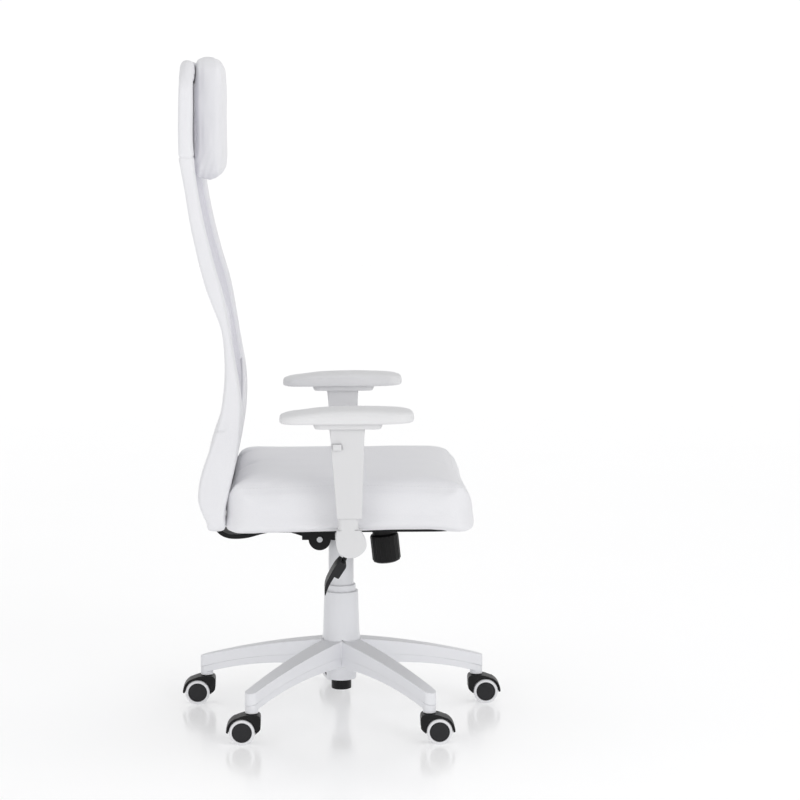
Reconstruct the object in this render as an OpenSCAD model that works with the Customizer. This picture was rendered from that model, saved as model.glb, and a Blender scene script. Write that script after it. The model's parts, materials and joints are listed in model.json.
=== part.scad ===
// Swivel office chair: high mesh back with faux-leather borders, padded seat, headrest,
// height-adjustable arms with turning pads, gas lift, five-arm base on twin-wheel casters.
// Origin on the floor under the column. +Z up, the sitter faces -Y, the sitter's right is -X.

/* [Star base] */
// Radius of the circle on which the caster stems stand
stem_circle_r = 291; // [250:1:330]
// Turn of the star about the column, in degrees
star_turn = 1.1; // [-10:0.1:10]
// Height of the arm at its tip
arm_tip_h = 39; // [34:1:46]
// Rise of the top of the hub above the underside of the arm tips
hub_rise = 95; // [85:1:115]
// Radius of the hub
hub_r = 41; // [38:1:48]
// Wall of the moulded arms
arm_wall = 4; // [3:0.5:6]

/* [Casters] */
// Radius of a caster wheel
wheel_r = 25; // [20:0.5:30]
// Width of one of the two wheels
wheel_w = 16; // [12:0.5:18]
// Distance from the stem to the wheel axle, seen from above
caster_trail = 19; // [16:0.5:22]
// Radius of the caster stem
stem_r = 5.5; // [4:0.5:6]
// Radius of the wheel axle
axle_r = 4; // [3:0.5:5]

/* [Column] */
// Outer radius of the stand tube
tube_r = 25; // [22:0.5:27]
// Length of the stand tube above the hub
tube_rise = 203; // [165:1:245]
// Radius of the gas spring cylinder
cylinder_r = 14; // [12:0.5:16]
// Travel of the gas lift
lift_travel = 100; // [60:1:120]
// Wall of the dust cover
cover_wall = 2; // [1.5:0.5:3]

/* [Mechanism] */
// Width of the mechanism tray
tray_w = 104; // [90:1:130]
// Height of the mechanism tray
tray_h = 36; // [30:1:40]
// Gap between the stand tube and the mechanism at the lowest seat height
tube_gap = 6; // [4:1:12]
// Distance of the recline pivot behind the column
pivot_back = 43; // [36:1:50]
// Radius of the recline shaft
pivot_r = 6; // [4:0.5:8]
// Radius of the tension knob
knob_r = 28; // [24:0.5:32]
// Reach of the height lever from the middle of the chair
lever_reach = 258; // [200:1:280]

/* [Seat] */
// Width of the seat
seat_w = 530; // [440:1:640]
// Depth of the seat
seat_d = 469; // [390:1:565]
// Thickness of the cushion at its middle
cushion_h = 102; // [80:1:120]
// Thickness of the seat board
board_t = 12; // [9:0.5:18]

/* [Arms] */
// Distance from the side of the seat to the middle of an arm post
arm_gap = 46; // [36:1:70]
// Length of an arm pad
pad_l = 252; // [220:1:280]
// Width of an arm pad
pad_w = 90; // [70:1:100]
// Thickness of an arm pad
pad_t = 25; // [20:1:34]
// Height of the underside of the pad plates above the seat board
arm_rise = 211; // [195:1:235]
// Travel of the arms, up and down together
arm_travel = 70; // [40:1:80]

/* [Back] */
// Width of the back
back_w = 490; // [400:1:590]
// Width of the leather border on each side of the back
border_w = 42; // [30:1:60]
// Radius of the upper corners of the back
back_corner_r = 62; // [40:1:90]
// Height of the top of the back above the seat board
back_rise = 893; // [700:1:1065]
// Thickness of the mesh
mesh_t = 2.5; // [2:0.5:4]
// Width of the headrest
headrest_w = 288; // [220:1:330]
// Height of the headrest
headrest_h = 234; // [180:1:260]
// Thickness of the headrest
headrest_t = 52; // [40:1:60]

/* [Fits] */
// Radial clearance of shafts that turn or slide
run_fit = 0.05; // [0.02:0.01:0.1]
// Gap between neighbouring pieces that move past each other
move_gap = 1; // [0.5:0.1:2]

/* [Hidden] */
$fn = 64;
ARMS = 5;
SIDES = ["right", "left"];
function caster_node(k, piece) = str("caster_", k + 1, "_", piece);
function arm_node(side, piece) = str(SIDES[side], "_arm_", piece);
CASTER_PIECES = ["hood", "pins", "wheel_right", "wheel_left"];
ARM_PIECES = ["bracket", "sleeve", "button", "plate", "pad"];

white_plastic = [0.90, 0.91, 0.93];
white_leather = [0.94, 0.94, 0.95];
grey_plastic = [0.80, 0.80, 0.81];
black_plastic = [0.07, 0.07, 0.08];
steel = [0.62, 0.64, 0.66];
mesh_white = [0.86, 0.86, 0.90];

// Heights of the stack, from the floor up
arm_tip_z = 2 * wheel_r + 10;
hub_bottom_z = arm_tip_z + 13;
hub_top_z = arm_tip_z + hub_rise;
tube_top_z = hub_top_z + tube_rise;
tray_z = tube_top_z + tube_gap;
tray_top_z = tray_z + tray_h;
plate_t = 4;
plate_z = tray_top_z;
board_z = plate_z + plate_t + 8;
cushion_z = board_z;
seat_top_z = cushion_z + cushion_h;
// The seat reaches further forward of the column than behind it
seat_front_y = -253;
seat_back_y = seat_front_y + seat_d;
pivot_y = pivot_back;
pivot_z = tray_z + 1;
knob_y = -84;
knob_tilt = 6.2;
plate_y0 = -118;
plate_y1 = 84;
arm_y = -10;
arm_x = seat_w / 2 + arm_gap;
pad_plate_z = board_z + arm_rise;
pad_plate_t = 10;
back_top_z = board_z + back_rise;

// Helpers ---------------------------------------------------------------------------------

// Point between b and c on the smooth curve through a, b, c, d
function curve_point(a, b, c, d, t) =
    0.5 * (2 * b + (c - a) * t + (2 * a - 5 * b + 4 * c - d) * t * t
           + (3 * b - a - 3 * c + d) * t * t * t);
// Smooth curve through open points, with steps points in each stretch
function curve(p, steps = 5) = let (n = len(p)) concat(
    [for (i = [0 : n - 2]) for (k = [0 : steps - 1])
        curve_point(p[max(i - 1, 0)], p[i], p[i + 1], p[min(i + 2, n - 1)], k / steps)],
    [p[n - 1]]);
// Outline of a rectangle with its corners rounded by r
function round_box(x0, y0, x1, y1, r, steps = 8) = [
    for (c = [[x1 - r, y1 - r, 0], [x0 + r, y1 - r, 90], [x0 + r, y0 + r, 180], [x1 - r, y0 + r, 270]])
        for (k = [0 : steps]) let (a = c[2] + 90 * k / steps) [c[0] + r * cos(a), c[1] + r * sin(a)]];
// Points of an arc about a centre
function arc(cx, cy, r, a0, a1, steps = 10) =
    [for (k = [0 : steps]) let (a = a0 + (a1 - a0) * k / steps) [cx + r * cos(a), cy + r * sin(a)]];
// A curve moved sideways by a distance, to the left of its direction
function beside(p, t) = let (n = len(p)) [for (i = [0 : n - 1])
    let (d = p[min(i + 1, n - 1)] - p[max(i - 1, 0)], l = norm(d))
        [p[i][0] - t * d[1] / l, p[i][1] + t * d[0] / l]];
function reversed(p) = [for (i = [len(p) - 1 : -1 : 0]) p[i]];
// Outline of a band beside a curve, between two distances from it
function band(p, t0, t1) = concat(beside(p, t0), reversed(beside(p, t1)));

// Prism along X with an outline in Y and Z
module side_prism(outline, x0, x1) {
    translate([x0, 0, 0]) rotate([90, 0, 90]) linear_extrude(x1 - x0) polygon(outline);
}
// Prism along Y with an outline in X and Z
module front_prism(outline, y0, y1) {
    translate([0, y1, 0]) rotate([90, 0, 0]) linear_extrude(y1 - y0) polygon(outline);
}
// Prism along Z with an outline in X and Y
module plan_prism(outline, z0, z1) {
    translate([0, 0, z0]) linear_extrude(z1 - z0) polygon(outline);
}
// Straight round bar between two heights
module post(r, z0, z1) { translate([0, 0, z0]) cylinder(r = r, h = z1 - z0); }
// Round bar along X between two places, at y and z
module bar_x(r, x0, x1, y, z) {
    translate([x0, y, z]) rotate([0, 90, 0]) cylinder(r = r, h = x1 - x0);
}

// Star base --------------------------------------------------------------------------------

tip_r = 13;
tip_end = stem_circle_r + tip_r;
root_u = 28;
root_half_w = 23;
arm_top_bow = 6;
ledge_inset = 1.2;
stem_socket_h = 32;
tube_bottom_z = hub_bottom_z + 3;
hub_foot_r = 30;

// Height of the arm's top edge, its moulded line and its lower edge at a distance u
function along(u) = (u - root_u) / (tip_end - root_u);
function arm_top(u, inset) = let (s = along(u))
    hub_top_z - inset + (arm_tip_z + arm_tip_h - hub_top_z) * s + arm_top_bow * 4 * s * (1 - s);
function arm_low(u) = let (s = along(u))
    arm_tip_z + 1 + (hub_rise - 54) * (1 - pow(s, 2.4));
function arm_line(u) = arm_low(u) + 0.38 * (arm_top(u, 0) - arm_low(u));
arm_us = [for (k = [0 : 12]) root_u + (tip_end - root_u) * k / 12];

module arm_layer(low, high, inset) {
    outline_low = [for (u = arm_us) [u, low == "line" ? arm_line(u) : arm_low(u)]];
    outline_high = [for (k = [12 : -1 : 0])
        let (u = arm_us[k]) [u, high == "line" ? arm_line(u) : arm_top(u, inset)]];
    intersection() {
        rotate([90, 0, 0]) translate([0, 0, -40]) linear_extrude(80)
            polygon(concat(outline_low, outline_high));
        translate([0, 0, arm_tip_z - 5]) linear_extrude(hub_top_z) arm_plan(inset);
    }
}
module arm_plan(inset) {
    polygon(concat(
        [[root_u, -root_half_w + inset]],
        arc(stem_circle_r, 0, tip_r - inset, -86, 86, 12),
        [[root_u, root_half_w - inset]]));
}
module star_arm() {
    difference() {
        union() {
            arm_layer("line", "top", 0);
            arm_layer("low", "line", ledge_inset);
            translate([stem_circle_r, 0, 0]) post(tip_r - 0.5, arm_tip_z, arm_tip_z + arm_tip_h - 8);
        }
        arm_pockets();
        translate([stem_circle_r, 0, 0]) post(stem_r + run_fit, arm_tip_z - 1, arm_tip_z + stem_socket_h);
    }
}
// The arm is open underneath, with cross ribs between its pockets
module arm_pockets() {
    ribs = [62, 130, 198, stem_circle_r - tip_r - arm_wall];
    for (k = [0 : 2])
        intersection() {
            rotate([90, 0, 0]) translate([0, 0, -40]) linear_extrude(80) polygon([
                [ribs[k], 0], [ribs[k + 1] - arm_wall, 0],
                [ribs[k + 1] - arm_wall, arm_top(ribs[k + 1], 0) - arm_wall - 2],
                [ribs[k], arm_top(ribs[k], 0) - arm_wall - 2]]);
            linear_extrude(hub_top_z) polygon([
                [root_u, -root_half_w + arm_wall], [stem_circle_r, -tip_r + arm_wall],
                [stem_circle_r, tip_r - arm_wall], [root_u, root_half_w - arm_wall]]);
        }
}
module base_star() {
    color(white_plastic) difference() {
        union() {
            for (k = [0 : ARMS - 1])
                rotate(star_turn * -1 + k * 360 / ARMS) star_arm();
            rotate_extrude() polygon(concat(
                [[0, hub_bottom_z], [hub_foot_r, hub_bottom_z], [hub_foot_r, hub_bottom_z + 8]],
                [[hub_r - 4, hub_bottom_z + 34], [hub_r, hub_top_z - 6]],
                [[hub_r - 1, hub_top_z], [0, hub_top_z]]));
        }
        post(tube_r, tube_bottom_z, hub_top_z + 10);
        post(end_cap_r + move_gap, hub_bottom_z - 1, tube_bottom_z + 1);
    }
}

// Column -----------------------------------------------------------------------------------

tube_wall = 2;
end_cap_r = 20;
end_cap_z = hub_bottom_z - 21;
rod_r = 5;
bearing_r = 15;
bearing_h = 8;
piston_h = 12;
gland_h = 14;
cylinder_wall = 2;
cylinder_bottom_z = tube_bottom_z + 36;
rod_top_z = cylinder_bottom_z + gland_h + lift_travel + piston_h + 6;
bush_h = 60;
button_r = 4;
cylinder_top_z = tray_top_z - 8;
collar_r = tube_r + 4;
collar_z = hub_top_z + 111;
cover_top_z = collar_z - 13;
cover_top_r = tube_r + 9;
cover_low_r = cover_top_r + 2.5;
cover_foot_r = hub_r - 2;

module column_cover() {
    color(white_plastic) rotate_extrude($fn = 96) polygon([
        [cover_foot_r - cover_wall, hub_top_z], [cover_foot_r, hub_top_z],
        [cover_foot_r - 0.8, hub_top_z + 4], [cover_low_r, hub_top_z + 12],
        [cover_top_r, cover_top_z - 1], [cover_top_r - 1, cover_top_z],
        [collar_r, cover_top_z], [collar_r, collar_z - 1], [collar_r - 1, collar_z],
        [tube_r, collar_z], [tube_r, collar_z - 2 * cover_wall],
        [tube_r + cover_wall, cover_top_z - cover_wall],
        [cover_top_r - cover_wall, cover_top_z - cover_wall],
        [cover_low_r - cover_wall, hub_top_z + 12]]);
}
module stand_tube() {
    color(white_plastic) difference() {
        post(tube_r, tube_bottom_z, tube_top_z);
        post(tube_r - tube_wall, tube_bottom_z + 3, tube_top_z + 1);
        post(rod_r + 2, tube_bottom_z - 1, tube_bottom_z + 4);
    }
}
module column_end_cap() {
    color(black_plastic) difference() {
        post(end_cap_r, end_cap_z, tube_bottom_z);
        post(rod_r + 2, end_cap_z + 3, tube_bottom_z + 1);
    }
}
module thrust_bearing() {
    color(steel) difference() {
        post(bearing_r, tube_bottom_z + 3, tube_bottom_z + 3 + bearing_h);
        post(rod_r + run_fit, tube_bottom_z, tube_bottom_z + 4 + bearing_h);
        rotate_extrude() translate([bearing_r, tube_bottom_z + 3 + bearing_h / 2]) circle(r = 2.2);
    }
}
module tube_bush() {
    color(grey_plastic) difference() {
        post(tube_r - tube_wall, tube_top_z - bush_h, tube_top_z - 1);
        post(cylinder_r + run_fit, tube_top_z - bush_h - 1, tube_top_z + 1);
    }
}
// The rod turns on the thrust bearing by its shoulder and carries the piston at its top
module gas_rod() {
    color(steel) {
        post(rod_r, end_cap_z + 6, rod_top_z);
        post(rod_r + 1.5, end_cap_z + 8, end_cap_z + 10);
        post(rod_r + 4, tube_bottom_z + 3 + bearing_h, tube_bottom_z + 6 + bearing_h);
        post(cylinder_r - cylinder_wall - 0.1, rod_top_z - piston_h, rod_top_z);
    }
}
module gas_cylinder() {
    color(steel) difference() {
        post(cylinder_r, cylinder_bottom_z, cylinder_top_z);
        post(rod_r + run_fit, cylinder_bottom_z - 1, cylinder_bottom_z + gland_h + 1);
        post(cylinder_r - cylinder_wall, cylinder_bottom_z + gland_h, cylinder_top_z - 50);
        post(button_r + run_fit, cylinder_top_z - 20, cylinder_top_z + 1);
    }
}
module gas_button() {
    color(steel) post(button_r, cylinder_top_z - 14, cylinder_top_z + 3);
}

// Casters: built with the stem at the origin and the wheels trailing towards +Y --------------

web_half = 4;
side_gap = 1;
wheel_x = web_half + side_gap;
hood_half_w = 18.5;
hood_top_z = arm_tip_z - 1.5;
hood_gap = 1.4;
hub_cap_r = wheel_r * 0.76;
fork_r = wheel_r + 5.5;

module hood_outline() {
    polygon(concat(
        [[caster_trail + fork_r - 3, wheel_r - 1.5]],
        arc(caster_trail, wheel_r, fork_r, -1, 62, 9),
        curve([[caster_trail + 12, wheel_r + fork_r - 3], [caster_trail - 2, hood_top_z - 1],
               [6, hood_top_z]], 4),
        curve([[-10, hood_top_z], [-15.6, hood_top_z - 3], [-17.5, hood_top_z - 9]], 4),
        [[-16.8, wheel_r + 6], [-13.5, wheel_r + 1.5], [-7.5, wheel_r - 3.5], [-4, wheel_r - 2.5],
         [caster_trail, wheel_r - 6], [caster_trail + 8, wheel_r - 1.5]]));
}
module caster_hood() {
    color(black_plastic) difference() {
        union() {
            rotate([90, 0, 90]) translate([0, 0, -hood_half_w])
                linear_extrude(2 * hood_half_w) hood_outline();
            bar_x(axle_r + 4, -web_half, web_half, caster_trail, wheel_r);
        }
        for (s = [-1, 1])
            translate([s * (wheel_x - side_gap + 20), 0, 0])
                bar_x(wheel_r + hood_gap, -20, 20, caster_trail, wheel_r);
        bar_x(axle_r, -hood_half_w - 1, hood_half_w + 1, caster_trail, wheel_r);
        post(stem_r, hood_top_z - 16, hood_top_z + 1);
    }
}
module caster_pins() {
    color(steel) {
        post(stem_r, hood_top_z - 16, arm_tip_z + stem_socket_h - 2);
        post(stem_r + 2.5, hood_top_z, arm_tip_z - 0.4);
        bar_x(axle_r, -wheel_x - wheel_w + 3, wheel_x + wheel_w - 3, caster_trail, wheel_r);
    }
}
// One wheel: tread ring, recess, and a slightly crowned cap. side is -1 or 1 along X
module caster_wheel(side) {
    color(grey_plastic) translate([side * wheel_x, caster_trail, wheel_r])
        rotate([0, side * 90, 0]) rotate_extrude() polygon([
            [axle_r + run_fit, 0], [wheel_r - 3, 0], [wheel_r, 2.4], [wheel_r, wheel_w - 3.4],
            [wheel_r - 1, wheel_w - 1.4], [wheel_r - 3, wheel_w - 0.6], [hub_cap_r + 0.6, wheel_w - 0.6],
            [hub_cap_r, wheel_w - 1.2], [hub_cap_r - 0.6, wheel_w - 0.3], [hub_cap_r * 0.6, wheel_w],
            [0, wheel_w], [0, wheel_w - 2], [axle_r + run_fit, wheel_w - 2]]);
}
// The first arm points to +X. Casters towards the back trail back, the two front ones forward
function caster_angle(k) = star_turn * -1 + k * 360 / ARMS;
function trails_forward(k) = sin(caster_angle(k)) < -0.1;
module at_caster(k) {
    translate([stem_circle_r * cos(caster_angle(k)), stem_circle_r * sin(caster_angle(k)), 0])
        rotate(trails_forward(k) ? 180 : 0) children();
}

// Mechanism --------------------------------------------------------------------------------

tray_t = 3;
tray_y0 = -112;
tray_y1 = 78;
tray_front_z = tray_top_z - 12;
boss_r = cylinder_r + 7;
lug_r = 22;
bar_eye_r = pivot_r + 9;
bar_half_w = 34;

tray_step_y = -46;
tray_slot_y = 24;
// Pressed tray, shallow in front, open at the top and rear, with a boss for the gas cylinder
// and a round lug on each side
module mechanism_tray() {
    half = tray_w / 2;
    color(black_plastic) difference() {
        union() {
            difference() {
                side_prism([[tray_y0, tray_top_z], [tray_y0, tray_front_z], [tray_step_y, tray_front_z],
                            [tray_step_y + 12, tray_z], [tray_y1, tray_z], [tray_y1, tray_top_z]],
                           -half, half);
                side_prism([[tray_y0 + tray_t, tray_top_z + 1], [tray_y0 + tray_t, tray_front_z + tray_t],
                            [tray_step_y + tray_t, tray_front_z + tray_t],
                            [tray_step_y + 12 + tray_t, tray_z + tray_t],
                            [tray_slot_y, tray_z + tray_t], [tray_slot_y, tray_z - 1],
                            [tray_y1 + 1, tray_z - 1], [tray_y1 + 1, tray_top_z + 1]],
                           -half + tray_t, half - tray_t);
            }
            for (s = [-1, 1])
                bar_x(lug_r, s * (half - tray_t / 2) - tray_t / 2, s * (half - tray_t / 2) + tray_t / 2,
                      pivot_y, pivot_z);
            post(boss_r, tray_z, tray_top_z - 10);
        }
        post(cylinder_r, tray_z - 1, tray_top_z + 1);
        bar_x(pivot_r, -half - 1, half + 1, pivot_y, pivot_z);
        at_knob() post(bolt_r, -10, 10);
        bar_x(lever_r + lever_play, -half - 1, -half + tray_t + 1, lever_y, lever_z);
    }
}
// Flat plate on the tray, bolted to the seat board through four spacers
seat_bolt_x = 82;
seat_bolt_ys = [-98, 64];
spacer_h = board_z - plate_z - plate_t;
module seat_plate() {
    color(black_plastic) difference() {
        union() {
            plan_prism(round_box(-100, plate_y0, 100, plate_y1, 14), plate_z, plate_z + plate_t);
            at_seat_bolts() post(10, plate_z + plate_t, board_z);
        }
        at_seat_bolts() post(4.2, plate_z - 1, board_z + 1);
        post(cylinder_r + 8, plate_z - 1, plate_z + plate_t + 1);
    }
}
module at_seat_bolts() {
    for (x = [-seat_bolt_x, seat_bolt_x]) for (y = seat_bolt_ys) translate([x, y, 0]) children();
}
module bolt_down(z, r = 4, grip = 20, head_r = 7) {
    post(r, z, z + grip);
    post(head_r, z - 4.5, z);
}
module seat_bolts() {
    color(steel) at_seat_bolts() bolt_down(plate_z, 4, spacer_h + plate_t + board_t - 2);
}
module recline_shaft() {
    color(steel) bar_x(pivot_r, -tray_w / 2 - 2, tray_w / 2 + 2, pivot_y, pivot_z);
}

// Tension knob, hanging from the front of the tray on its bolt, with the spring inside it
knob_h = 77;
knob_neck_h = 18;
knob_wall = 3;
knob_top = -1.5 - move_gap;
knob_ribs = 18;
module at_knob() { translate([0, knob_y, tray_front_z]) rotate([-knob_tilt, 0, 0]) children(); }
module tension_knob() {
    color(black_plastic) at_knob() difference() {
        union() {
            rotate_extrude() polygon([
                [0, knob_top - knob_h + 2], [knob_r - 8, knob_top - knob_h + 1],
                [knob_r - 1.5, knob_top - knob_h + 4], [knob_r, knob_top - knob_h + 9],
                [knob_r, knob_top - knob_neck_h - 3], [knob_r - 2, knob_top - knob_neck_h],
                [knob_r - 5, knob_top - knob_neck_h], [knob_r - 5, knob_top], [0, knob_top]]);
            for (k = [0 : knob_ribs - 1]) rotate(k * 360 / knob_ribs) translate([knob_r - 0.4, 0, 0])
                post(1.3, knob_top - knob_h + 8, knob_top - knob_neck_h - 4);
        }
        post(knob_r - 5 - knob_wall, knob_top - knob_h + 8, knob_top + 1);
        post(bolt_r + run_fit, knob_top - knob_h, knob_top + 1);
    }
}
bolt_r = 5;
module tension_bolt() {
    color(steel) at_knob() {
        post(bolt_r, knob_top - knob_h + 5, tray_t + 4.5);
        post(bolt_r + 4, tray_t + 1, tray_t + 5.5);
    }
}
spring_r = knob_r - 5 - knob_wall - 6.5;
spring_wire = 2.2;
spring_turns = 6;
spring_sides = 8;
spring_steps = 16;
// Coil spring: a ring of points carried along a helix
module tension_spring() {
    z0 = knob_top - knob_h + 8 + spring_wire;
    pitch = (knob_h - 14) / spring_turns;
    rings = spring_turns * spring_steps;
    points = [for (i = [0 : rings]) let (a = 360 * i / spring_steps, z = z0 + pitch * i / spring_steps)
        for (j = [0 : spring_sides - 1]) let (b = 360 * j / spring_sides)
            [(spring_r + spring_wire * cos(b)) * cos(a), (spring_r + spring_wire * cos(b)) * sin(a),
             z + spring_wire * sin(b)]];
    n = spring_sides;
    faces = concat(
        [for (i = [0 : rings - 1]) for (j = [0 : n - 1])
            [i * n + j, (i + 1) * n + j, (i + 1) * n + (j + 1) % n, i * n + (j + 1) % n]],
        [[for (j = [0 : n - 1]) j]], [[for (j = [n - 1 : -1 : 0]) rings * n + j]]);
    color(steel) at_knob() polyhedron(points, faces);
}

// Height lever: a rod out of the tray's right side that bends down into a drooping paddle.
// Its inner end reaches over the gas button
lever_r = 4;
lever_play = 0.6;
lever_y = -12;
lever_z = tray_z + 16;
finger_x = -boss_r - 14;
finger_z = cylinder_top_z + 3.4;
finger_t = 3;
paddle_x0 = -lever_reach;
paddle_x1 = -lever_reach + 62;
lever_bend_x = -lever_reach + 30;
// Round bar between two points
module bar_between(r, a, b) {
    d = b - a;
    translate(a) rotate([0, acos(d[2] / norm(d)), atan2(d[1], d[0])]) cylinder(r = r, h = norm(d));
}
lever_elbow = [lever_bend_x, lever_y, lever_z];
lever_end = [lever_bend_x, lever_y + 12, lever_z - 32];
module lever_rod() {
    color(black_plastic) {
        bar_x(lever_r, lever_bend_x, finger_x + 2, lever_y, lever_z);
        translate(lever_elbow) sphere(r = lever_r);
        bar_between(lever_r, lever_elbow, lever_end);
        side_prism(round_box(lever_y - 5, lever_z - lever_r, lever_y + 17, finger_z + finger_t, 2),
                   finger_x, finger_x + 5);
        side_prism(round_box(lever_y + 5, finger_z, lever_y + 18, finger_z + finger_t, 1), finger_x, 4);
    }
}
// The paddle: seen from the side it curves down and back from the rod to a thin tail
module lever_paddle() {
    y = lever_y;
    z = lever_z;
    rear = curve([[y + 17, z - 21], [y + 25.5, z - 30], [y + 33, z - 42], [y + 39.5, z - 54],
                  [y + 44, z - 64], [y + 46.5, z - 75], [y + 46.5, z - 86]], 4);
    front = curve([[y + 45, z - 87], [y + 42, z - 78], [y + 38, z - 68], [y + 33.5, z - 60],
                   [y + 28, z - 51]], 4);
    color(black_plastic) difference() {
        intersection() {
            side_prism(concat(rear, front, [[y + 25, z - 53], [y + 20, z - 55], [y + 6, z - 34],
                                            [y + 5, z - 29]]), paddle_x0, paddle_x1);
            plan_prism(round_box(paddle_x0, y - 10, paddle_x1, y + 66, 16), z - 100, z);
        }
        bar_between(lever_r, lever_elbow, lever_end);
    }
}

// Seat --------------------------------------------------------------------------------------

board_edge = 26;
// The cushion reaches this far behind the seat's measured rear edge, close to the back
cushion_overhang = 3.5;
module seat_board() {
    color(black_plastic) difference() {
        plan_prism(round_box(-seat_w / 2 + board_edge, seat_front_y + board_edge,
                             seat_w / 2 - board_edge, seat_back_y - board_edge, 50),
                   board_z, board_z + board_t);
        at_seat_bolts() post(4, board_z - 1, board_z + board_t + 1);
        at_arm_bolts() post(arm_bolt_r, board_z - 1, board_z + board_t + 1);
    }
}
// Cushion: side outline with a rounded front, cut to its plan and to its rounded front outline
module seat_cushion() {
    z0 = cushion_z;
    z1 = seat_top_z;
    f = seat_front_y;
    b = seat_back_y + cushion_overhang;
    side = concat(
        curve([[f + 14, z0 + 1], [f + 3, z0 + 9], [f, z0 + 27], [f + 4, z0 + 54], [f + 15, z0 + 78],
               [f + 38, z0 + 93], [f + 95, z1 - 1], [f + 200, z1], [b - 110, z1], [b - 52, z1 - 3],
               [b - 22, z1 - 11], [b - 7, z1 - 28], [b, z1 - 52], [b, z0 + 24], [b - 5, z0 + 5]], 4),
        [[b - 24, z0], [f + 30, z0]]);
    hw = seat_w / 2;
    front = concat(
        [[-hw + 26, z0]], arc(-hw + 22, z0 + 22, 22, 250, 180, 5),
        curve([[-hw, z0 + 30], [-hw + 1, z0 + 64], [-hw + 11, z1 - 17], [-hw + 36, z1 - 5],
               [-hw + 100, z1 - 1], [0, z1], [hw - 100, z1 - 1], [hw - 36, z1 - 5], [hw - 11, z1 - 17],
               [hw - 1, z0 + 64], [hw, z0 + 30]], 4),
        arc(hw - 22, z0 + 22, 22, 0, -70, 5), [[hw - 26, z0]]);
    color(white_leather) difference() {
        intersection() {
            side_prism(side, -hw - 1, hw + 1);
            front_prism(front, f - 1, b + 1);
            plan_prism(round_box(-hw, f, hw, b, 58), z0 - 1, z1 + 1);
        }
        plan_prism(round_box(-hw + board_edge, f + board_edge, hw - board_edge,
                             seat_back_y - board_edge, 50), z0 - 1, z0 + board_t);
    }
}

// Arms: built for the right side at x = 0, then moved and mirrored ------------------------------

inner_post_w = 26;
inner_post_d = 38;
slot_gap = 0.5;
sleeve_z0 = board_z + 41;
arm_bolt_r = 4;
// Distance inwards from the arm post to the first row of bolts, which go through the board's edge
arm_bolt_x = arm_gap + board_edge + 16;
arm_bolt_xs = [arm_bolt_x, arm_bolt_x + 40];
arm_bolt_y = 14;
bracket_t = 8;
bracket_in = arm_bolt_x + 56;
module at_arm(side) {
    if (side == 0) translate([-arm_x, 0, 0]) children();
    else mirror([1, 0, 0]) translate([-arm_x, 0, 0]) children();
}
module at_arm_bolts() {
    for (side = [0, 1]) at_arm(side)
        for (x = arm_bolt_xs) for (dy = [-arm_bolt_y, arm_bolt_y])
            translate([x, arm_y + 2 + dy, 0]) children();
}
// L-shaped bracket: a flat tongue under the seat, a rounded foot and the inner post
module arm_bracket() {
    foot = curve([[arm_y + 21, board_z + 18], [arm_y + 23, board_z + 8], [arm_y + 23, board_z - 10],
                  [arm_y + 18, board_z - 25], [arm_y + 4, board_z - 34], [arm_y - 12, board_z - 34],
                  [arm_y - 27, board_z - 25], [arm_y - 34, board_z - 12], [arm_y - 31, board_z + 2],
                  [arm_y - 22, board_z + 18]], 4);
    color(grey_plastic) difference() {
        union() {
            side_prism(foot, -13, 13);
            plan_prism(round_box(0, arm_y - 23, bracket_in, arm_y + 24, 12), board_z - bracket_t, board_z);
            plan_prism(round_box(-inner_post_w / 2, arm_y - inner_post_d / 2,
                                 inner_post_w / 2, arm_y + inner_post_d / 2, 8),
                       board_z, sleeve_z0 + arm_travel + 62);
        }
        for (x = arm_bolt_xs) for (dy = [-arm_bolt_y, arm_bolt_y])
            translate([x, arm_y + 2 + dy, 0]) post(arm_bolt_r, board_z - bracket_t - 1, board_z + 1);
    }
}
module arm_bolts() {
    color(steel) at_arm_bolts() bolt_down(board_z - bracket_t, arm_bolt_r, bracket_t + board_t - 2);
}
// Tapered sleeve that rides on the inner post; a window at its outer rear holds the button
sleeve_top_z = pad_plate_z;
button_z = pad_plate_z - 34;
button_w = 18;
button_y = arm_y + 12;
module arm_sleeve() {
    side = concat(
        curve([[arm_y - 25, sleeve_z0], [arm_y - 27, sleeve_z0 + 60], [arm_y - 30, sleeve_top_z - 20]], 3),
        [[arm_y - 31, sleeve_top_z], [arm_y + 35, sleeve_top_z]],
        curve([[arm_y + 33, sleeve_top_z - 20], [arm_y + 26, sleeve_z0 + 60], [arm_y + 21, sleeve_z0]], 3));
    color(grey_plastic) difference() {
        intersection() {
            side_prism(side, -22, 22);
            front_prism([[-17, sleeve_z0], [17, sleeve_z0], [22, sleeve_top_z], [-22, sleeve_top_z]],
                        arm_y - 50, arm_y + 50);
            plan_prism(round_box(-22, arm_y - 36, 22, arm_y + 40, 12), sleeve_z0 - 1, sleeve_top_z + 1);
        }
        plan_prism(round_box(-inner_post_w / 2 - slot_gap, arm_y - inner_post_d / 2 - slot_gap,
                             inner_post_w / 2 + slot_gap, arm_y + inner_post_d / 2 + slot_gap, 8),
                   sleeve_z0 - 1, sleeve_top_z - 8);
        translate([-30, button_y, button_z - 6]) cube([20, button_w, 12]);
        post_at(arm_y, swivel_r + run_fit, sleeve_top_z - 12, sleeve_top_z + 1);
    }
}
module post_at(y, r, z0, z1) { translate([0, y, 0]) post(r, z0, z1); }
button_gap = 0.3;
module arm_button() {
    color(grey_plastic)
        plan_prism(round_box(-29, button_y + button_gap, -17, button_y + button_w - button_gap, 3),
                   button_z - 6 + button_gap, button_z + 6 - button_gap);
}
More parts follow.
